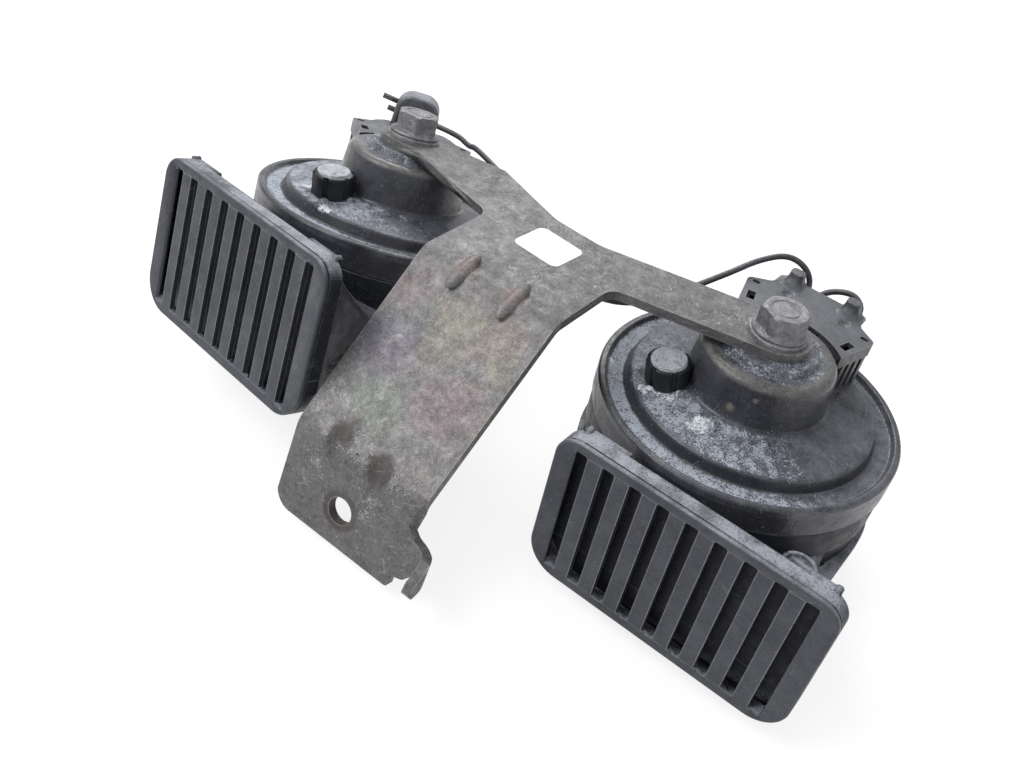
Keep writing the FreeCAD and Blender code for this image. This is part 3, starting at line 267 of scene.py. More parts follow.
def makeMottle():
    # Uneven tone in three sizes, as a factor for the colour
    tree, given, out = newGroup("mottle", "Factor", Size=1.0, Depth=0.3, Seed=0.0)
    scale = calc(tree, "DIVIDE", 1000.0, given["Size"])
    total = None
    # scale beside the finest, and share of the whole
    for factor, share in ((1.0, 0.50), (0.28, 0.30), (0.07, 0.20)):
        node = nodeIn(tree, "ShaderNodeTexNoise", noise_dimensions="4D")
        feed(tree, node.inputs["Vector"], given["Place"])
        feed(tree, node.inputs["W"], given["Seed"])
        feed(tree, node.inputs["Scale"], times(tree, scale, factor))
        feed(tree, node.inputs["Detail"], 4.0)
        feed(tree, node.inputs["Roughness"], 0.65)
        part = times(tree, band(tree, node.outputs[0], 0.30, 0.70, -1.0, 1.0), share)
        total = part if total is None else calc(tree, "ADD", total, part)
    feed(tree, out["Factor"], calc(tree, "MULTIPLY_ADD", total, given["Depth"], 1.0))
    return tree


speckle = makeSpeckle()
edgeWearAndHighlight = makeEdgeWearAndHighlight()
dust = makeDust()
scratches = makeScratches()
mottle = makeMottle()
print("shared effects made")


def newMaterial(name):
    made = bpy.data.materials.new(name)
    made.use_nodes = True
    tree = made.node_tree
    tree.nodes.clear()
    shader = tree.nodes.new("ShaderNodeBsdfPrincipled")
    result = tree.nodes.new("ShaderNodeOutputMaterial")
    tree.links.new(shader.outputs[0], result.inputs["Surface"])
    place = tree.nodes.new("ShaderNodeTexCoord").outputs["Object"]
    return made, tree, shader, place


def relief(tree, shader, height):
    # height is in millimetres
    bump = nodeIn(tree, "ShaderNodeBump")
    bump.inputs["Distance"].default_value = mm
    bump.inputs["Strength"].default_value = 1.0
    feed(tree, bump.inputs["Height"], height)
    feed(tree, shader.inputs["Normal"], bump.outputs[0])


def patch(tree, place, middle, radius, seed=0.0, ragged=1.1):
    # Soft-edged spot round a point, its outline broken up by grain
    wobble = grain(tree, place, radius * 0.6, 4.0, 0.6, seed)
    shift = calc(tree, "MULTIPLY_ADD", wobble, ragged * 2 * radius * mm, -ragged * radius * mm)
    away = calc(tree, "ADD", distanceTo(tree, place, middle), shift)
    return bandIn(tree, away, radius, radius * 0.35)


def anyOf(tree, masks):
    total = masks[0]
    for mask in masks[1:]:
        total = calc(tree, "MAXIMUM", total, mask)
    return total


def toned(tree, base, factor):
    return blendColor(tree, 1.0, base, factor, "MULTIPLY")


def cloudy(tree, place, size, detail, rough, seed, look):
    # Dark and pale of a finish in soft clouds
    cloud = band(tree, grain(tree, place, size, detail, rough, seed), 0.3, 0.7)
    return blendColor(tree, cloud, look["dark"], look["pale"])


def hornPlace(tree, place, horn):
    mapping = nodeIn(tree, "ShaderNodeMapping", vector_type="TEXTURE")
    feed(tree, mapping.inputs["Vector"], place)
    mapping.inputs["Location"].default_value = mmPoint(horn["at"])
    mapping.inputs["Rotation"].default_value = radians(horn["turn"])
    return mapping.outputs[0]


bracketLook = {
    "dark": (0.130, 0.128, 0.131),
    "pale": (0.192, 0.189, 0.192),
    # painted light: the slope's colour is a lighter painted sheen, the foot's a darker painted shade, on the
    # same zinc
    "slope": (0.245, 0.236, 0.234),
    "foot": (0.155, 0.148, 0.152),
    "specks": (0.62, 0.62, 0.62),
    "stain": (0.085, 0.072, 0.068),
    "edge": (0.50, 0.49, 0.47),
    "warm": (0.31, 0.25, 0.225),
    "metallic": 0.3,
    "rough": (0.40, 0.66),
    # how much of each layer shows
    "slopeShare": 0.75,
    "footShare": 0.8,
    "tintShare": 0.34,
    "warmShare": 0.35,
    "grimeShare": 0.45,
    "dartStainShadeShare": 0.72,
    "speckShare": 0.5,
    "ringShare": 0.75,
    "edgeShare": 0.6,
    "mottle": 0.55,
    "scratched": 0.45,
    # sizes in millimetres: clouds, warm spots, grime, fine mottle and specks
    "cloudSize": 22.0,
    "warmSize": 6.0,
    "grimeSize": 5.0,
    "mottleSize": 0.42,
    "speckSize": 0.55,
    "edgeWidth": 0.5,
    # where the slope's painted sheen ends along Y, and where the foot's painted shade begins along Z
    "slopeTop": (56.0, 49.0),
    "footTop": (20.0, 13.0),
    # middle, radius and colour of what is left of the chromate's tints
    "tints": [
        ((-14.8, 27.2, 35.0), 13.0, (0.19, 0.17, 0.26)),
        ((-15.0, 37.8, 43.3), 9.0, (0.20, 0.23, 0.27)),
        ((-5.4, 17.4, 27.4), 12.0, (0.24, 0.29, 0.23)),
        ((13.9, 24.7, 33.0), 13.0, (0.29, 0.19, 0.23)),
        ((-0.8, 40.1, 45.1), 12.0, (0.32, 0.32, 0.22)),
        ((13.3, 43.6, 47.8), 10.0, (0.34, 0.26, 0.22)),
        ((-18.8, 43.0, 47.3), 9.0, (0.32, 0.22, 0.24)),
        ((19.1, 38.0, 43.4), 6.5, (0.36, 0.35, 0.26)),
        ((9.1, 53.5, 56.0), 5.5, (0.36, 0.25, 0.23)),
        ((-9.1, 53.5, 56.0), 5.5, (0.36, 0.27, 0.24)),
    ],
    # dark patches on the two darts at the lower bend: partly stain, partly painted shade in the dents
    "dartStainsAndShade": [((-8.0, 8.0, 20.0), 6.0), ((7.6, 5.8, 18.3), 7.0)],
    # where pale crust has gathered
    "crusts": [((7.7, 1.5, 5.6), 6.5), ((-13.5, 1.9, 7.0), 8.0), ((-17.9, 11.7, 22.9), 10.0),
               ((18.5, -1.6, -5.8), 5.0), ((-2.0, 7.5, 19.8), 9.0), ((14.0, 7.0, 19.0), 8.0),
               ((58.0, 98.0, 55.0), 8.0), ((36.0, 92.0, 55.0), 6.0), ((3.0, 66.0, 55.0), 8.0)],
    # radii of the fixing hole and of the ring that its washer left
    "hole": 4.2,
    "holeRing": 6.3,
}


def bracketMaterial():
    look = bracketLook
    made, tree, shader, place = newMaterial("bracketZinc")
    split = nodeIn(tree, "ShaderNodeSeparateXYZ")
    feed(tree, split.inputs[0], place)
    y, z = split.outputs[1], split.outputs[2]
    onFoot = bandIn(tree, z, *look["footTop"])
    onSlope = times(tree, bandIn(tree, y, *look["slopeTop"]), calc(tree, "SUBTRACT", 1.0, onFoot))
    base = cloudy(tree, place, look["cloudSize"], 6.0, 0.6, 1.0, look)
    # Painted light: a lighter colour on the slope as painted sheen, a darker one on the foot as painted
    # shade
    base = blendColor(tree, times(tree, onSlope, look["slopeShare"]), base, look["slope"])
    base = blendColor(tree, times(tree, onFoot, look["footShare"]), base, look["foot"])
    for number, (middle, radius, color) in enumerate(look["tints"]):
        mask = patch(tree, place, middle, radius, 2.0 + number)
        base = blendColor(tree, times(tree, mask, look["tintShare"]), base, color)
    warm = grain(tree, place, look["warmSize"], 5.0, 0.65, 4.0)
    warm = band(tree, warm, 0.50, 0.66, 0.0, look["warmShare"])
    base = blendColor(tree, times(tree, warm, onSlope), base, look["warm"])
    grime = grain(tree, place, look["grimeSize"], 6.0, 0.7, 6.0)
    grime = band(tree, grime, 0.52, 0.72, 0.0, look["grimeShare"])
    base = blendColor(tree, grime, base, look["stain"])
    tone = useGroup(tree, mottle, Place=place, Size=look["mottleSize"], Depth=look["mottle"], Seed=1.5)
    base = toned(tree, base, tone["Factor"])
    # Dark patches on the darts: partly stain, partly painted shade where the dents fall into shadow
    dark = anyOf(tree, [patch(tree, place, middle, radius, 40.0, 0.7) for middle, radius in look["dartStainsAndShade"]])
    base = blendColor(tree, times(tree, dark, look["dartStainShadeShare"]), base, look["stain"])
    crust = anyOf(tree, [patch(tree, place, middle, radius, 50.0) for middle, radius in look["crusts"]])
    cover = calc(tree, "MULTIPLY_ADD", crust, 0.20, 0.36)
    spots = useGroup(tree, speckle, Place=place, Size=look["speckSize"], Cover=cover, Seed=2.0)["Mask"]
    base = blendColor(tree, times(tree, spots, look["speckShare"]), base, look["specks"])
    lines = useGroup(tree, scratches, Place=place, Amount=look["scratched"])["Mask"]
    base = blendColor(tree, lines, base, look["specks"])
    # The part's origin is the middle of the fixing hole
    away = distanceTo(tree, place, (0.0, 0.0, 0.0))
    ring = bandIn(tree, away, look["holeRing"] + 0.3, look["holeRing"] - 0.4)
    base = blendColor(tree, times(tree, ring, look["ringShare"]), base, look["stain"])
    # Pale edges: partly rubbing wear, partly painted highlight
    rubbedAndLitEdge = useGroup(tree, edgeWearAndHighlight, Place=place, Width=look["edgeWidth"], Break=0.35)["Mask"]
    base = blendColor(tree, times(tree, rubbedAndLitEdge, look["edgeShare"]), base, look["edge"])
    feed(tree, shader.inputs["Base Color"], base)
    shader.inputs["Metallic"].default_value = look["metallic"]
    rough = band(tree, grain(tree, place, 4.0, 5.0, 0.65, 9.0), 0.3, 0.7, *look["rough"])
    feed(tree, shader.inputs["Roughness"], rough)
    # Crust, fine pitting, soft unevenness and the washer's dished ring, in millimetres
    rise = times(tree, spots, 0.06)
    rise = calc(tree, "ADD", rise, times(tree, grain(tree, place, 0.6, 4.0, 0.65, 5.0), 0.10))
    rise = calc(tree, "ADD", rise, times(tree, grain(tree, place, 5.0, 3.0, 0.5, 5.5), 0.25))
    rise = calc(tree, "ADD", rise, times(tree, bandIn(tree, away, look["hole"], look["holeRing"]), 0.5))
    relief(tree, shader, rise)
    return made


coverLook = {
    "dark": (0.032, 0.033, 0.041),
    "pale": (0.115, 0.118, 0.135),
    "bloom": (0.21, 0.23, 0.28),
    "crust": (0.62, 0.67, 0.76),
    "salt": (0.80, 0.84, 0.88),
    # shoulder: partly worn metal, partly painted highlight on the boss's rounded shoulder
    "shoulder": (0.25, 0.235, 0.205),
    "edge": (0.40, 0.40, 0.39),
    "pits": (0.010, 0.011, 0.016),
    "rustColor": (0.22, 0.185, 0.165),
    "rough": (0.20, 0.42),
    # how much of each layer shows
    "plateauShare": 0.72,
    "seatShare": 0.45,
    "crustShare": 0.70,
    "pitShare": 0.8,
    # the next two set how much painted shade darkens the boss's side and the walls below
    "bossShadeShare": 0.45,
    "wallShadeShare": 0.88,
    "dotShare": 0.55,
    "shoulderWearHighlightShare": 0.65,
    "edgeShare": 0.6,
    # sizes in millimetres: clouds, chalky film, mottle, crust's grains, salt's grains, pits and dots
    "cloudSize": 10.0,
    "filmSize": 3.2,
    "mottleSize": 0.5,
    "crustSize": 0.45,
    "saltSize": 0.7,
    "pitSize": 0.55,
    "dotSize": 0.7,
    "edgeWidth": 0.8,
    # rings of the stamping: from and to radius, and how softly each ends
    "channel": (39.2, 44.0, 0.5),
    "step": (37.9, 39.1, 0.35),
    "plateau": (22.8, 37.2, 0.9),
    "shoulderRing": (16.5, 21.5, 1.0),
    "bossFoot": (23.8, 22.6),
    "seat": (18.0, 16.5),
    # heights over the rim's top in the same way
    "plateauTop": (7.5, 5.5),
    "bossHeights": (6.0, 17.6, 1.0),
    "shoulderHeights": (17.9, 19.6, 0.5),
    "seatHeights": (18.5, 19.5),
    "wallTop": (-2.0, -3.0),
    # the side on which salt water stood, as a direction from the axis, and how far round it reaches
    "wetSide": (-0.52, -0.85),
    "wetReach": (-0.45, 0.75),
    # middles and radii of the salt's heaps and of the rust spots
    "salts": {
        "right_cover": [((52.3, 78.3, 34.3), 4.5), ((46.1, 76.7, 33.4), 4.0), ((65.7, 74.0, 34.4), 5.0),
                        ((29.5, 84.8, 28.7), 2.2)],
        "left_cover": [((-67.7, 56.9, 43.9), 3.2), ((-83.1, 65.0, 41.7), 3.0)],
    },
    "rust": {"right_cover": [((70.0, 80.8, 39.9), 1.7), ((75.7, 82.4, 44.9), 1.0)], "left_cover": []},
}


def between(tree, value, low, high, soft):
    return times(tree, bandIn(tree, value, low - soft, low + soft),
                 bandIn(tree, value, high + soft, high - soft))


def coverMaterial(node, horn, seed):
    look = coverLook
    made, tree, shader, place = newMaterial(node + "Black")
    local = hornPlace(tree, place, horn)
    split = nodeIn(tree, "ShaderNodeSeparateXYZ")
    feed(tree, split.inputs[0], local)
    x, y, z = split.outputs
    radius = calc(tree, "SQRT", calc(tree, "ADD", times(tree, x, x), times(tree, y, y)))
    towards = calc(tree, "ADD", times(tree, x, look["wetSide"][0]), times(tree, y, look["wetSide"][1]))
    wet = band(tree, calc(tree, "DIVIDE", towards, radius), *look["wetReach"])
    low = bandIn(tree, z, *look["plateauTop"])
    channel = between(tree, radius, *look["channel"])
    plateau = times(tree, between(tree, radius, *look["plateau"]), low)
    bossSideShade = times(tree, bandIn(tree, radius, *look["bossFoot"]), between(tree, z, *look["bossHeights"]))
    shoulder = times(tree, between(tree, z, *look["shoulderHeights"]),
                     between(tree, radius, *look["shoulderRing"]))
    seat = times(tree, bandIn(tree, z, *look["seatHeights"]), bandIn(tree, radius, *look["seat"]))
    wallShade = calc(tree, "MAXIMUM", bandIn(tree, z, *look["wallTop"]), between(tree, radius, *look["step"]))
    base = cloudy(tree, place, look["cloudSize"], 6.0, 0.6, seed, look)
    zone = times(tree, calc(tree, "MULTIPLY_ADD", plateau, look["plateauShare"], channel), low)
    amount = calc(tree, "ADD", times(tree, zone, wet), times(tree, seat, look["seatShare"]))
    # A thin chalky bloom first, then the crust's grains, then pits between them
    film = band(tree, grain(tree, place, look["filmSize"], 6.0, 0.65, seed + 1.0), 0.30, 0.68)
    film = times(tree, film, calc(tree, "MULTIPLY_ADD", amount, 0.75, times(tree, zone, 0.35)))
    base = blendColor(tree, film, base, look["bloom"])
    depth = calc(tree, "MULTIPLY_ADD", amount, 0.6, 0.45)
    tone = useGroup(tree, mottle, Place=place, Size=look["mottleSize"], Depth=depth, Seed=seed)["Factor"]
    base = toned(tree, base, tone)
    cover = calc(tree, "MULTIPLY_ADD", amount, 0.62, 0.30)
    spots = useGroup(tree, speckle, Place=place, Size=look["crustSize"], Cover=cover, Seed=seed + 2.0)
    spots = spots["Mask"]
    base = blendColor(tree, times(tree, spots, look["crustShare"]), base, look["crust"])
    salty = [patch(tree, place, middle, size, seed + 3.0) for middle, size in look["salts"][node]]
    cover = times(tree, anyOf(tree, salty), 0.85)
    salt = useGroup(tree, speckle, Place=place, Size=look["saltSize"], Cover=cover, Seed=seed + 4.0)
    salt = salt["Mask"]
    base = blendColor(tree, salt, base, look["salt"])
    pits = band(tree, grain(tree, place, look["pitSize"], 4.0, 0.6, seed + 5.0), 0.46, 0.36)
    base = blendColor(tree, times(tree, times(tree, pits, amount), look["pitShare"]), base, look["pits"])
    # Painted shade: the boss's side, the step wall and all below the rim are darkened toward black, with a
    # few pale dots
    uprightShade = anyOf(tree, [times(tree, bossSideShade, look["bossShadeShare"]), times(tree, wallShade, look["wallShadeShare"])])
    base = blendColor(tree, uprightShade, base, look["dark"])
    dots = useGroup(tree, speckle, Place=place, Size=look["dotSize"], Cover=0.40, Seed=seed + 6.0)
    base = blendColor(tree, times(tree, dots["Mask"], look["dotShare"]), base, look["bloom"])
    # Pale warm band on the boss's rounded shoulder: partly wear, partly painted highlight where the fillet
    # catches light
    lines = grain(tree, local, 1.4, 5.0, 0.65, seed + 7.0, (1.0, 1.0, 2.0))
    shoulderWearAndHighlight = band(tree, lines, 0.34, 0.66, 0.25, 1.0)
    shoulderWearAndHighlight = times(tree, times(tree, shoulder, shoulderWearAndHighlight), look["shoulderWearHighlightShare"])
    base = blendColor(tree, shoulderWearAndHighlight, base, look["shoulder"])
    for middle, size in look["rust"][node]:
        base = blendColor(tree, patch(tree, place, middle, size, seed, 0.4), base, look["rustColor"])
    # Pale edges: partly rubbing wear, partly painted highlight
    rubbedAndLitEdge = useGroup(tree, edgeWearAndHighlight, Place=place, Width=look["edgeWidth"], Break=0.30)["Mask"]
    base = blendColor(tree, times(tree, rubbedAndLitEdge, look["edgeShare"]), base, look["edge"])
    feed(tree, shader.inputs["Base Color"], base)
    rough = band(tree, grain(tree, place, 5.0, 5.0, 0.65, seed + 8.0), 0.3, 0.7, *look["rough"])
    chalky = calc(tree, "MAXIMUM", spots, film)
    feed(tree, shader.inputs["Roughness"], calc(tree, "MULTIPLY_ADD", chalky, 0.35, rough, clamp=True))
    # Crust, fine pitting and soft unevenness, in millimetres
    rise = times(tree, calc(tree, "MAXIMUM", spots, salt), 0.10)
    rise = calc(tree, "ADD", rise, times(tree, grain(tree, place, 0.8, 4.0, 0.6, seed + 9.0), 0.10))
    rise = calc(tree, "ADD", rise, times(tree, grain(tree, place, 7.0, 3.0, 0.5, seed + 9.5), 0.35))
    relief(tree, shader, rise)
    return made


# What most mouldings share, unless their own look says otherwise
plasticCommon = {
    "mottle": 0.35,
    "dustColor": (0.29, 0.30, 0.34),
    "scratched": 0.4,
    "edgeWidth": 0.6,
    "broken": 0.4,
    "edgeShare": 0.6,
    "shine": 0.5,
    "cloudSize": 14.0,
    "mottleSize": 0.6,
    "grain": 0.45,
    "relief": 0.06,
}


def plasticMaterial(name, ownLook):
    look = {**plasticCommon, **ownLook}
    made, tree, shader, place = newMaterial(name)
    base = cloudy(tree, place, look["cloudSize"], 6.0, 0.6, 1.0, look)
    tone = useGroup(tree, mottle, Place=place, Size=look["mottleSize"], Depth=look["mottle"], Seed=4.0)
    base = toned(tree, base, tone["Factor"])
    dusty = useGroup(tree, dust, Place=place, Amount=look["dust"])["Mask"]
    base = blendColor(tree, dusty, base, look["dustColor"])
    lines = useGroup(tree, scratches, Place=place, Amount=look["scratched"])["Mask"]
    base = blendColor(tree, lines, base, look["edge"])
    # Pale edges: partly rubbing wear, partly painted highlight
    rubbedAndLitEdge = useGroup(tree, edgeWearAndHighlight, Place=place, Width=look["edgeWidth"], Break=look["broken"])["Mask"]
    base = blendColor(tree, times(tree, rubbedAndLitEdge, look["edgeShare"]), base, look["edge"])
    feed(tree, shader.inputs["Base Color"], base)
    clouds = grain(tree, place, 4.0, 5.0, 0.6, 2.0)
    rough = band(tree, clouds, 0.3, 0.7, look["rough"] - 0.08, look["rough"] + 0.12)
    feed(tree, shader.inputs["Roughness"], rough)
    shader.inputs["Specular IOR Level"].default_value = look["shine"]
    relief(tree, shader, times(tree, grain(tree, place, look["grain"], 4.0, 0.6, 3.0), look["relief"]))
    return made


metalCommon = {
    "mottle": 0.2,
    "crust": 0.2,
    "crustColor": (0.58, 0.57, 0.57),
    "crustShare": 0.7,
    "edge": (0.52, 0.51, 0.50),
    "edgeShare": 0.6,
    "edgeWidth": 0.45,
    "cloudSize": 3.0,
    "mottleSize": 0.4,
    "crustSize": 0.5,
}


def metalMaterial(name, ownLook):
    look = {**metalCommon, **ownLook}
    made, tree, shader, place = newMaterial(name)
    base = cloudy(tree, place, look["cloudSize"], 5.0, 0.65, 1.0, look)
    tone = useGroup(tree, mottle, Place=place, Size=look["mottleSize"], Depth=look["mottle"], Seed=4.0)
    base = toned(tree, base, tone["Factor"])
    crust = useGroup(tree, speckle, Place=place, Size=look["crustSize"], Cover=look["crust"], Seed=3.0)
    crust = crust["Mask"]
    base = blendColor(tree, times(tree, crust, look["crustShare"]), base, look["crustColor"])
    # Pale edges: partly rubbing wear, partly painted highlight
    rubbedAndLitEdge = useGroup(tree, edgeWearAndHighlight, Place=place, Width=look["edgeWidth"], Break=0.2)["Mask"]
    base = blendColor(tree, times(tree, rubbedAndLitEdge, look["edgeShare"]), base, look["edge"])
    feed(tree, shader.inputs["Base Color"], base)
    shader.inputs["Metallic"].default_value = look["metallic"]
    clouds = grain(tree, place, 2.0, 4.0, 0.6, 2.0)
    rough = band(tree, clouds, 0.3, 0.7, look["rough"] - 0.08, look["rough"] + 0.1)
    feed(tree, shader.inputs["Roughness"], rough)
    fine = times(tree, grain(tree, place, 0.4, 3.0, 0.6, 4.0), 0.06)
    relief(tree, shader, calc(tree, "ADD", times(tree, crust, 0.05), fine))
    return made


capLook = {
    "side": (0.012, 0.013, 0.018),
    "top": (0.46, 0.47, 0.51),
    "crack": (0.03, 0.03, 0.035),
    "edge": (0.25, 0.26, 0.29),
    # middle of each cap's top in its horn's frame, and the radius of the pale disc
    "tops": [(rightHorn, (-21.35, -19.63, 12.3)), (leftHorn, (-1.21, -28.97, 12.3))],
    "disc": 5.6,
}


def capMaterial():
    # Near-black rubber whose flat top has gone dusty grey and cracked at its edge
    look = capLook
    made, tree, shader, place = newMaterial("capRubber")
    discs = []
    for horn, point in look["tops"]:
        away = distanceTo(tree, place, inHorn(horn, point))
        discs.append(bandIn(tree, away, look["disc"], look["disc"] - 0.25))
    up = anyOf(tree, discs)
    tone = useGroup(tree, mottle, Place=place, Size=0.6, Depth=0.5, Seed=9.0)["Factor"]
    top = toned(tree, look["top"], tone)
    cracks = band(tree, grain(tree, place, 1.3, 5.0, 0.7, 6.0), 0.56, 0.62)
    top = blendColor(tree, times(tree, cracks, 0.55), top, look["crack"])
    base = blendColor(tree, up, look["side"], top)
    # Pale edges: partly rubbing wear, partly painted highlight
    rubbedAndLitEdge = useGroup(tree, edgeWearAndHighlight, Place=place, Width=0.3, Break=0.6)["Mask"]
    base = blendColor(tree, times(tree, rubbedAndLitEdge, 0.3), base, look["edge"])
    feed(tree, shader.inputs["Base Color"], base)
    feed(tree, shader.inputs["Roughness"], calc(tree, "MULTIPLY_ADD", up, 0.3, 0.42))
    relief(tree, shader, times(tree, grain(tree, place, 0.7, 4.0, 0.6, 4.0), 0.08))
    return made


labelLook = {
    "paper": (0.84, 0.84, 0.84),
    "bright": (0.90, 0.90, 0.90),
    "specks": (0.45, 0.45, 0.46),
    "rough": 0.45,
}


def labelMaterial():
    look = labelLook
    made, tree, shader, place = newMaterial("labelPaper")
    clouds = band(tree, grain(tree, place, 4.0, 5.0, 0.6, 1.0), 0.35, 0.7)
    base = blendColor(tree, clouds, look["paper"], look["bright"])
    specks = useGroup(tree, speckle, Place=place, Size=0.5, Cover=0.18, Seed=3.0)["Mask"]
    base = blendColor(tree, times(tree, specks, 0.5), base, look["specks"])
    feed(tree, shader.inputs["Base Color"], base)
    shader.inputs["Roughness"].default_value = look["rough"]
    relief(tree, shader, times(tree, grain(tree, place, 2.5, 3.0, 0.5, 2.0), 0.06))
    return made


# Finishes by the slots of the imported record; the boot's own one is used in its slot's place

plasticLooks = {
    "housing_plastic": {
        "dark": (0.055, 0.057, 0.064), "pale": (0.095, 0.097, 0.107), "edge": (0.30, 0.31, 0.33),
        "dust": 0.45, "rough": 0.38, "scratched": 0.3,
    },
    "trumpet_plastic": {
        "dark": (0.012, 0.013, 0.018), "pale": (0.024, 0.026, 0.034), "edge": (0.22, 0.23, 0.26),
        "dust": 1.5, "dustColor": (0.37, 0.38, 0.43), "rough": 0.42, "scratched": 0.4,
        "shine": 0.20,
    },
    "grille_plastic": {
        "dark": (0.036, 0.040, 0.051), "pale": (0.064, 0.069, 0.083), "edge": (0.42, 0.43, 0.46),
        "dust": 1.25, "rough": 0.42, "scratched": 0.25, "broken": 0.30, "mottle": 0.3,
        "shine": 0.40,
    },
    "lead_black": {
        "dark": (0.030, 0.030, 0.034), "pale": (0.055, 0.055, 0.060), "edge": (0.2, 0.2, 0.2),
        "dust": 0.45, "rough": 0.36,
    },
    "boot": {
        "dark": (0.075, 0.076, 0.084), "pale": (0.130, 0.132, 0.144), "edge": (0.3, 0.3, 0.31),
        "dust": 1.6, "rough": 0.45,
    },
    "bobbin_nylon": {
        "dark": (0.60, 0.57, 0.50), "pale": (0.72, 0.70, 0.62), "edge": (0.7, 0.68, 0.6),
        "dust": 0.1, "rough": 0.45,
    },
    "gasket_fibre": {
        "dark": (0.22, 0.17, 0.12), "pale": (0.30, 0.24, 0.17), "edge": (0.3, 0.25, 0.2),
        "dust": 0.1, "rough": 0.8,
    },
}
metalLooks = {
    "bolt_zinc": {
        "dark": (0.17, 0.17, 0.18), "pale": (0.31, 0.31, 0.32), "metallic": 0.45, "rough": 0.46,
        "crust": 0.42, "mottle": 0.5,
    },
    "steel_core": {
        "dark": (0.35, 0.35, 0.36), "pale": (0.50, 0.50, 0.50), "metallic": 0.9, "rough": 0.4,
    },
    "spring_steel": {
        "dark": (0.45, 0.45, 0.46), "pale": (0.60, 0.60, 0.60), "metallic": 1.0, "rough": 0.3,
    },
    "coil_copper": {
        "dark": (0.45, 0.18, 0.08), "pale": (0.62, 0.30, 0.15), "metallic": 0.9, "rough": 0.35,
    },
    "terminal_brass": {
        "dark": (0.50, 0.42, 0.22), "pale": (0.62, 0.52, 0.28), "metallic": 0.9, "rough": 0.35,
    },
    "contact_metal": {
        "dark": (0.35, 0.35, 0.37), "pale": (0.45, 0.45, 0.47), "metallic": 1.0, "rough": 0.35,
    },
}
finishes = {"bracket_zinc": bracketMaterial(), "cap_rubber": capMaterial()}
for slot, look in plasticLooks.items():
    finishes[slot] = plasticMaterial(slot, look)
for slot, look in metalLooks.items():
    finishes[slot] = metalMaterial(slot, look)
ownFinishes = {
    "right_cover": coverMaterial("right_cover", rightHorn, 1.0),
    "left_cover": coverMaterial("left_cover", leftHorn, 31.0),
    "left_plug_boot": finishes["boot"],
}
slotOf = {row["node"]: row["material_slot"] for row in frame["record"]["subparts"]}
print("finishes made")


# Pieces of the model, merged and shaded smooth where they are round

# Angle in degrees, distance in millimetres
shading = {"sharpAngle": 32.0, "mergeWithin": 0.0005, "faceWeight": 100}
# Sealed inside the horns, so they keep the model's own mesh
inside = ("magnet_core", "coil_bobbin", "coil", "yoke_plate", "armature", "armature_washer", "diaphragm",
          "gasket", "breaker_fixed_blade", "breaker_spring_blade", "breaker_block", "breaker_contacts",
          "adjuster_screw", "terminals", "terminal_rivets")


def plainMesh(piece):
    return bpy.data.meshes.new_from_object(piece.evaluated_get(bpy.context.evaluated_depsgraph_get()))


def setMaterial(piece, made):
    piece.data.materials.clear()
    piece.data.materials.append(made)


def smoothCopy(name, made):
    mesh = nodes[name].data.copy()
    mesh.name = name + "Dressed"
    work = bmesh.new()
    work.from_mesh(mesh)
    bmesh.ops.remove_doubles(work, verts=work.verts, dist=shading["mergeWithin"] * mm)
    bmesh.ops.dissolve_degenerate(work, edges=work.edges, dist=shading["mergeWithin"] * mm)
    work.to_mesh(mesh)
    work.free()
    for polygon in mesh.polygons:
        polygon.use_smooth = True
    mesh.set_sharp_from_angle(angle=math.radians(shading["sharpAngle"]))
    piece = bpy.data.objects.new(name + "_dressed", mesh)
    scene.collection.objects.link(piece)
    # Large flat faces keep their own direction beside rounded ones
    flatten = piece.modifiers.new("flatFaces", "WEIGHTED_NORMAL")
    flatten.keep_sharp = True
    flatten.weight = shading["faceWeight"]
    piece.data = plainMesh(piece)
    piece.modifiers.clear()
    bpy.data.meshes.remove(mesh)
    setMaterial(piece, made)
    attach(piece, "root")
    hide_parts(name)


# Leads

leadSize = {"radius": 1.0, "smoothness": 16, "roundness": 4}
# The left can is turned on its own axis by this angle, in degrees
leftCanTurn = 45.0
# Points from the right horn's lid in that horn's frame, then to the left one in its turned can's frame
longLead = [(-6.3, 37.0, 13.6), (-6.7, 44.9, 16.2), (-10.4, 46.3, 22.0), (-18.0, 45.3, 24.0),
            (-24.2, 36.8, 21.8), (-27.0, 25.5, 20.8), (-31.4, 11.8, 19.2), (-35.0, -4.0, 18.6),
            (-43.5, -17.3, 17.8), (-58.0, -20.2, 17.5), (-72.5, -13.6, 17.4), (-86.5, -1.8, 17.4),
            (-101.0, 9.2, 17.6), (-116.5, 16.0, 18.0), (-130.5, 21.4, 18.0)]
longLeadEnd = [(19.5, 25.2, 21.6), (14.4, 34.8, 22.6), (2.8, 41.8, 22.2)]
shortLead = [(-3.8, 37.4, 13.2), (-3.8, 43.7, 16.4), (0.6, 46.2, 19.8), (7.2, 46.4, 21.6),
             (11.8, 44.4, 17.6), (10.4, 37.6, 14.0)]


def inLeftCan(point):
    return inHorn(leftHorn, Matrix.Rotation(math.radians(leftCanTurn), 3, "Z") @ Vector(point))


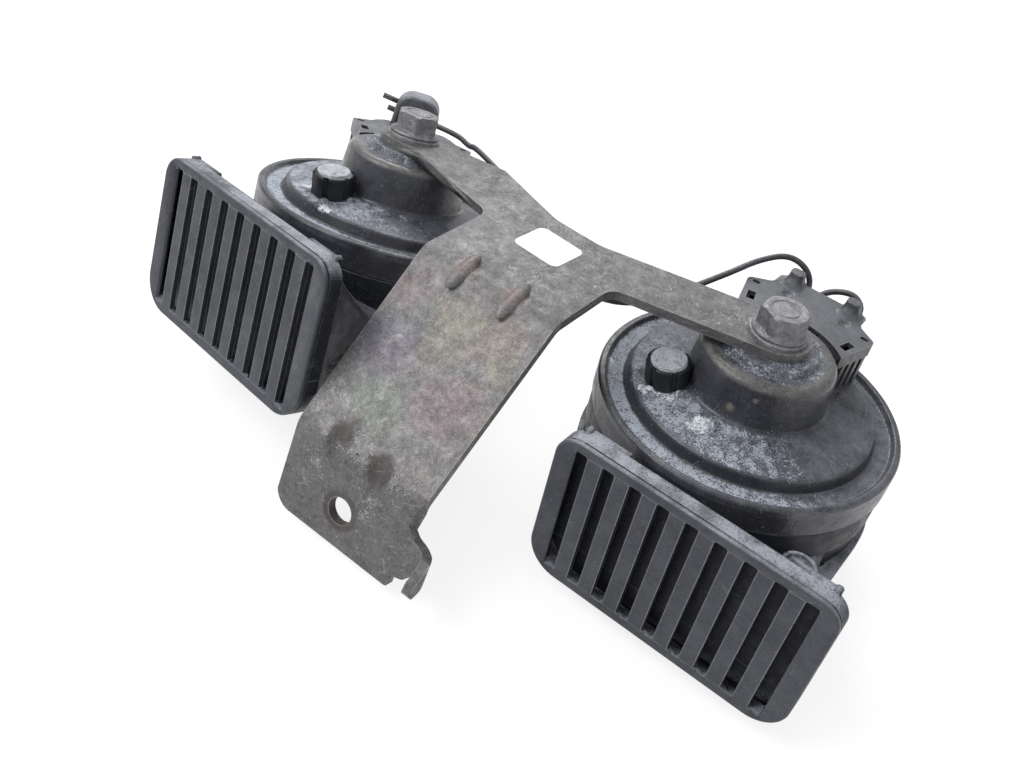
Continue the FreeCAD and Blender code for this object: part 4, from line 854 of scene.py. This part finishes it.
def makeLead(name, points):
    curve = bpy.data.curves.new(name, "CURVE")
    curve.dimensions = "3D"
    spline = curve.splines.new("NURBS")
    spline.points.add(len(points) - 1)
    for target, point in zip(spline.points, points):
        target.co = (*(point * mm), 1.0)
    spline.order_u = 3
    spline.use_endpoint_u = True
    spline.resolution_u = leadSize["smoothness"]
    piece = bpy.data.objects.new(name, curve)
    scene.collection.objects.link(piece)
    bare = plainMesh(piece)
    spots = [vertex.co for vertex in bare.vertices]
    length = sum((spots[edge.vertices[0]] - spots[edge.vertices[1]]).length for edge in bare.edges)
    bpy.data.meshes.remove(bare)
    curve.bevel_depth = leadSize["radius"] * mm
    curve.bevel_resolution = leadSize["roundness"]
    curve.use_fill_caps = True
    curve.materials.append(finishes["lead_black"])
    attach(piece, "root")
    return piece, length


def makeLeads():
    longPoints = [inHorn(rightHorn, point) for point in longLead]
    longPoints += [inLeftCan(point) for point in longLeadEnd]
    shortPoints = [inHorn(rightHorn, point) for point in shortLead]
    for name, node, points in (("leadAcross", "lead_between_horns", longPoints),
                               ("leadLoop", "lead_short", shortPoints)):
        piece, length = makeLead(name, points)
        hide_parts(node)
        print(name, "length", round(length, 4))


# Blank label on the web

label = {
    "middle": (-0.4, 82.8, 55.25),
    "size": (17.2, 14.6),
    "turn": -4.0,
    "corner": 2.4,
    "thickness": 0.15,
    "steps": 8,
}


def makeLabel():
    work = bmesh.new()
    halfX, halfY = label["size"][0] / 2 - label["corner"], label["size"][1] / 2 - label["corner"]
    # Rounded corners, one after the other round the outline
    ring = []
    for corner in range(4):
        side = Vector((halfX * (1 if corner in (0, 3) else -1), halfY * (1 if corner in (0, 1) else -1), 0))
        for step in range(label["steps"] + 1):
            angle = math.pi / 2 * (corner + step / label["steps"])
            rounded = label["corner"] * Vector((math.cos(angle), math.sin(angle), 0))
            ring.append(work.verts.new((side + rounded) * mm))
    face = work.faces.new(ring)
    made = bmesh.ops.extrude_face_region(work, geom=[face])
    lifted = [v for v in made["geom"] if isinstance(v, bmesh.types.BMVert)]
    bmesh.ops.translate(work, verts=lifted, vec=(0, 0, label["thickness"] * mm))
    bmesh.ops.recalc_face_normals(work, faces=work.faces)
    turn = Matrix.Rotation(math.radians(label["turn"]), 4, "Z")
    bmesh.ops.transform(work, matrix=Matrix.Translation(mmPoint(label["middle"])) @ turn, verts=work.verts)
    mesh = bpy.data.meshes.new("label")
    work.to_mesh(mesh)
    work.free()
    piece = bpy.data.objects.new("label", mesh)
    scene.collection.objects.link(piece)
    setMaterial(piece, labelMaterial())
    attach(piece, "root")


# Floor, world and lights

room = {
    "floorSize": 6.0,
    "floorColor": (0.80, 0.80, 0.80),
    "seenColor": (0.34, 0.34, 0.34),
    "seenGlow": 0.80,
    "skyColor": (0.97, 0.98, 1.0),
    "sky": 0.50,
    "lamps": {"frontLamp": (-0.54, -0.50, 0.95), "backLamp": (-0.50, 0.80, 0.80)},
    "lampSize": 0.7,
    "lampWatts": 6.5,
    "aim": (0.0, 0.06, 0.02),
}


def makeFloor():
    mesh = bpy.data.meshes.new("floor")
    half = room["floorSize"] / 2
    low = cadBox[0][2]
    mesh.from_pydata([(-half, -half, low), (half, -half, low), (half, half, low), (-half, half, low)], [],
                     [(0, 1, 2, 3)])
    floor = bpy.data.objects.new("floor", mesh)
    scene.collection.objects.link(floor)
    made = bpy.data.materials.new("floorPale")
    made.use_nodes = True
    tree = made.node_tree
    tree.nodes.clear()
    # What the object gets from the floor is plain white paper; what the camera sees is nearly blown out
    paper = nodeIn(tree, "ShaderNodeBsdfDiffuse")
    paper.inputs["Color"].default_value = (*room["floorColor"], 1.0)
    faint = nodeIn(tree, "ShaderNodeBsdfDiffuse")
    faint.inputs["Color"].default_value = (*room["seenColor"], 1.0)
    glow = nodeIn(tree, "ShaderNodeEmission")
    glow.inputs["Color"].default_value = (1.0, 1.0, 1.0, 1.0)
    glow.inputs["Strength"].default_value = room["seenGlow"]
    total = nodeIn(tree, "ShaderNodeAddShader")
    feed(tree, total.inputs[0], faint.outputs[0])
    feed(tree, total.inputs[1], glow.outputs[0])
    rays = nodeIn(tree, "ShaderNodeLightPath").outputs
    seen = calc(tree, "MAXIMUM", rays["Is Camera Ray"], rays["Is Glossy Ray"], clamp=True)
    mix = nodeIn(tree, "ShaderNodeMixShader")
    feed(tree, mix.inputs[0], seen)
    feed(tree, mix.inputs[1], paper.outputs[0])
    feed(tree, mix.inputs[2], total.outputs[0])
    result = nodeIn(tree, "ShaderNodeOutputMaterial")
    feed(tree, result.inputs["Surface"], mix.outputs[0])
    floor.data.materials.append(made)


def makeWorld():
    world = bpy.data.worlds.new("studio")
    world.use_nodes = True
    tree = world.node_tree
    tree.nodes.clear()
    sky = nodeIn(tree, "ShaderNodeBackground")
    sky.inputs["Color"].default_value = (*room["skyColor"], 1.0)
    rays = nodeIn(tree, "ShaderNodeLightPath").outputs
    seen = calc(tree, "MAXIMUM", rays["Is Camera Ray"], rays["Is Transmission Ray"], clamp=True)
    feed(tree, sky.inputs["Strength"], calc(tree, "MULTIPLY_ADD", seen, 1.0 - room["sky"], room["sky"]))
    result = nodeIn(tree, "ShaderNodeOutputWorld")
    feed(tree, result.inputs["Surface"], sky.outputs[0])
    scene.world = world


def makeLights():
    for name, at in room["lamps"].items():
        data = bpy.data.lights.new(name, "AREA")
        data.shape = "DISK"
        data.size = room["lampSize"]
        data.energy = room["lampWatts"]
        lamp = bpy.data.objects.new(name, data)
        lamp.location = at
        lamp.rotation_euler = (Vector(room["aim"]) - Vector(at)).to_track_quat("-Z", "Y").to_euler()
        scene.collection.objects.link(lamp)


def main():
    placeCamera()
    makeLeads()
    print("leads laid")
    for name in sorted(nodes):
        if name in ("lead_between_horns", "lead_short"):
            continue
        made = ownFinishes.get(name) or finishes[slotOf[name]]
        if name.removeprefix("right_").removeprefix("left_") in inside:
            setMaterial(nodes[name], made)
        else:
            smoothCopy(name, made)
    print("pieces dressed")
    makeLabel()
    makeFloor()
    makeWorld()
    makeLights()
    scene.view_settings.view_transform = "Standard"


main()
